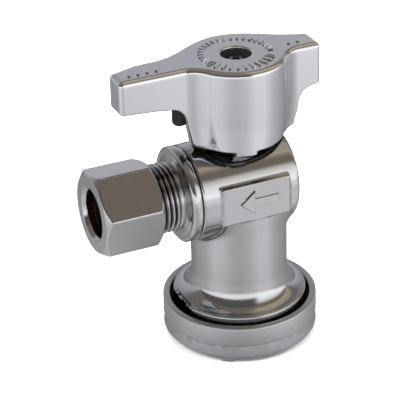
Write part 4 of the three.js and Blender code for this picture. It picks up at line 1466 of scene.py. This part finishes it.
class VALVE_OT_inlet(bpy.types.Operator):
    """Builds the release sleeve, retainer, grab ring and seals of the push-on inlet"""

    bl_idname = "valve.inlet"
    bl_label = "Inlet Rings"

    def execute(self, context):
        s = sizes_of(context.scene.valve_inlet)
        for name, node, material, body, slot, profile in INLET_RINGS:
            mesh = lathe(name, rounded(profile, 0.12), 128)
            placed(name, mesh, TO_STEM, material, body, slot, node)
        seal = lathe("inlet_seal", torus(9.05, 0.9, 8.98), 128)
        placed("inlet_seal", seal, TO_STEM, "rubber", "valve", "rubber", "inlet_o_ring")
        washer = rounded([(9.3, 6.75), (11.8, 6.75), (11.8, 7.1), (9.4, 7.1)], 0.08)
        mesh = lathe("grab_ring_skin", washer, 144)
        placed("grab_ring_skin", mesh, TO_STEM, "stainless", "valve", "steel", "grab_ring")
        teeth = spoke_tree("Grab teeth", "stainless", Count=s.teeth, First=math.radians(15),
                           Step=2 * math.pi / s.teeth, Radius=8.95, Level=6.95, Long=1.5, Wide=3.6, High=0.32,
                           Edge=0.2)
        mesh = teeth.apply(empty_mesh("grab_teeth"))
        tilt, hinge, drop = 0.32, 9.7, 0.15
        for vertex in mesh.vertices:
            reach = math.hypot(vertex.co.x, vertex.co.y)
            vertex.co.z += (hinge - reach) * tilt - drop
        placed("grab_teeth", mesh, TO_STEM, "stainless", "valve", "steel")
        return {"FINISHED"}


# ---------- inner pieces and panel ----------
# The material of each frame node that is shown as it is.
INNER_PIECES = {
    "valve_stem": "brass",
    "stem_thrust_washer": "ptfe",
    "stem_o_ring_lower": "rubber",
    "stem_o_ring_upper": "rubber",
    "rear_seat": "ptfe",
}


class VALVE_OT_inner(bpy.types.Operator):
    """Gives the hidden frame pieces their finishes"""

    bl_idname = "valve.inner"
    bl_label = "Inner Pieces"

    def execute(self, context):
        for node, material in INNER_PIECES.items():
            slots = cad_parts[node].data.materials
            slots.clear()
            slots.append(bpy.data.materials[material])
        return {"FINISHED"}


STEPS = (
    VALVE_OT_stage,
    VALVE_OT_finishes,
    VALVE_OT_body,
    VALVE_OT_lever,
    VALVE_OT_marks,
    VALVE_OT_screw,
    VALVE_OT_outlet,
    VALVE_OT_nut,
    VALVE_OT_ball,
    VALVE_OT_collar,
    VALVE_OT_inlet,
    VALVE_OT_inner,
)


class VALVE_PT_panel(bpy.types.Panel):
    """The valve's steps, in the order that they run"""

    bl_idname = "VALVE_PT_panel"
    bl_label = "Angle Stop Valve"
    bl_space_type = "VIEW_3D"
    bl_region_type = "UI"
    bl_category = "Valve"

    def draw(self, context):
        for step in STEPS:
            self.layout.operator(step.bl_idname)


def register():
    """Adds the settings, the operators and the panel to Blender."""
    for name, group in GROUPS.items():
        bpy.utils.register_class(group)
        setattr(bpy.types.Scene, name, PointerProperty(type=group))
    for step in STEPS:
        bpy.utils.register_class(step)
    bpy.utils.register_class(VALVE_PT_panel)


def unregister():
    """Takes them away again."""
    bpy.utils.unregister_class(VALVE_PT_panel)
    for step in reversed(STEPS):
        bpy.utils.unregister_class(step)
    for name, group in reversed(list(GROUPS.items())):
        delattr(bpy.types.Scene, name)
        bpy.utils.unregister_class(group)


def main():
    """Builds the whole valve."""
    register()
    for step in STEPS:
        group, name = step.bl_idname.split(".")
        getattr(getattr(bpy.ops, group), name)()


if __name__ == "__main__":
    main()
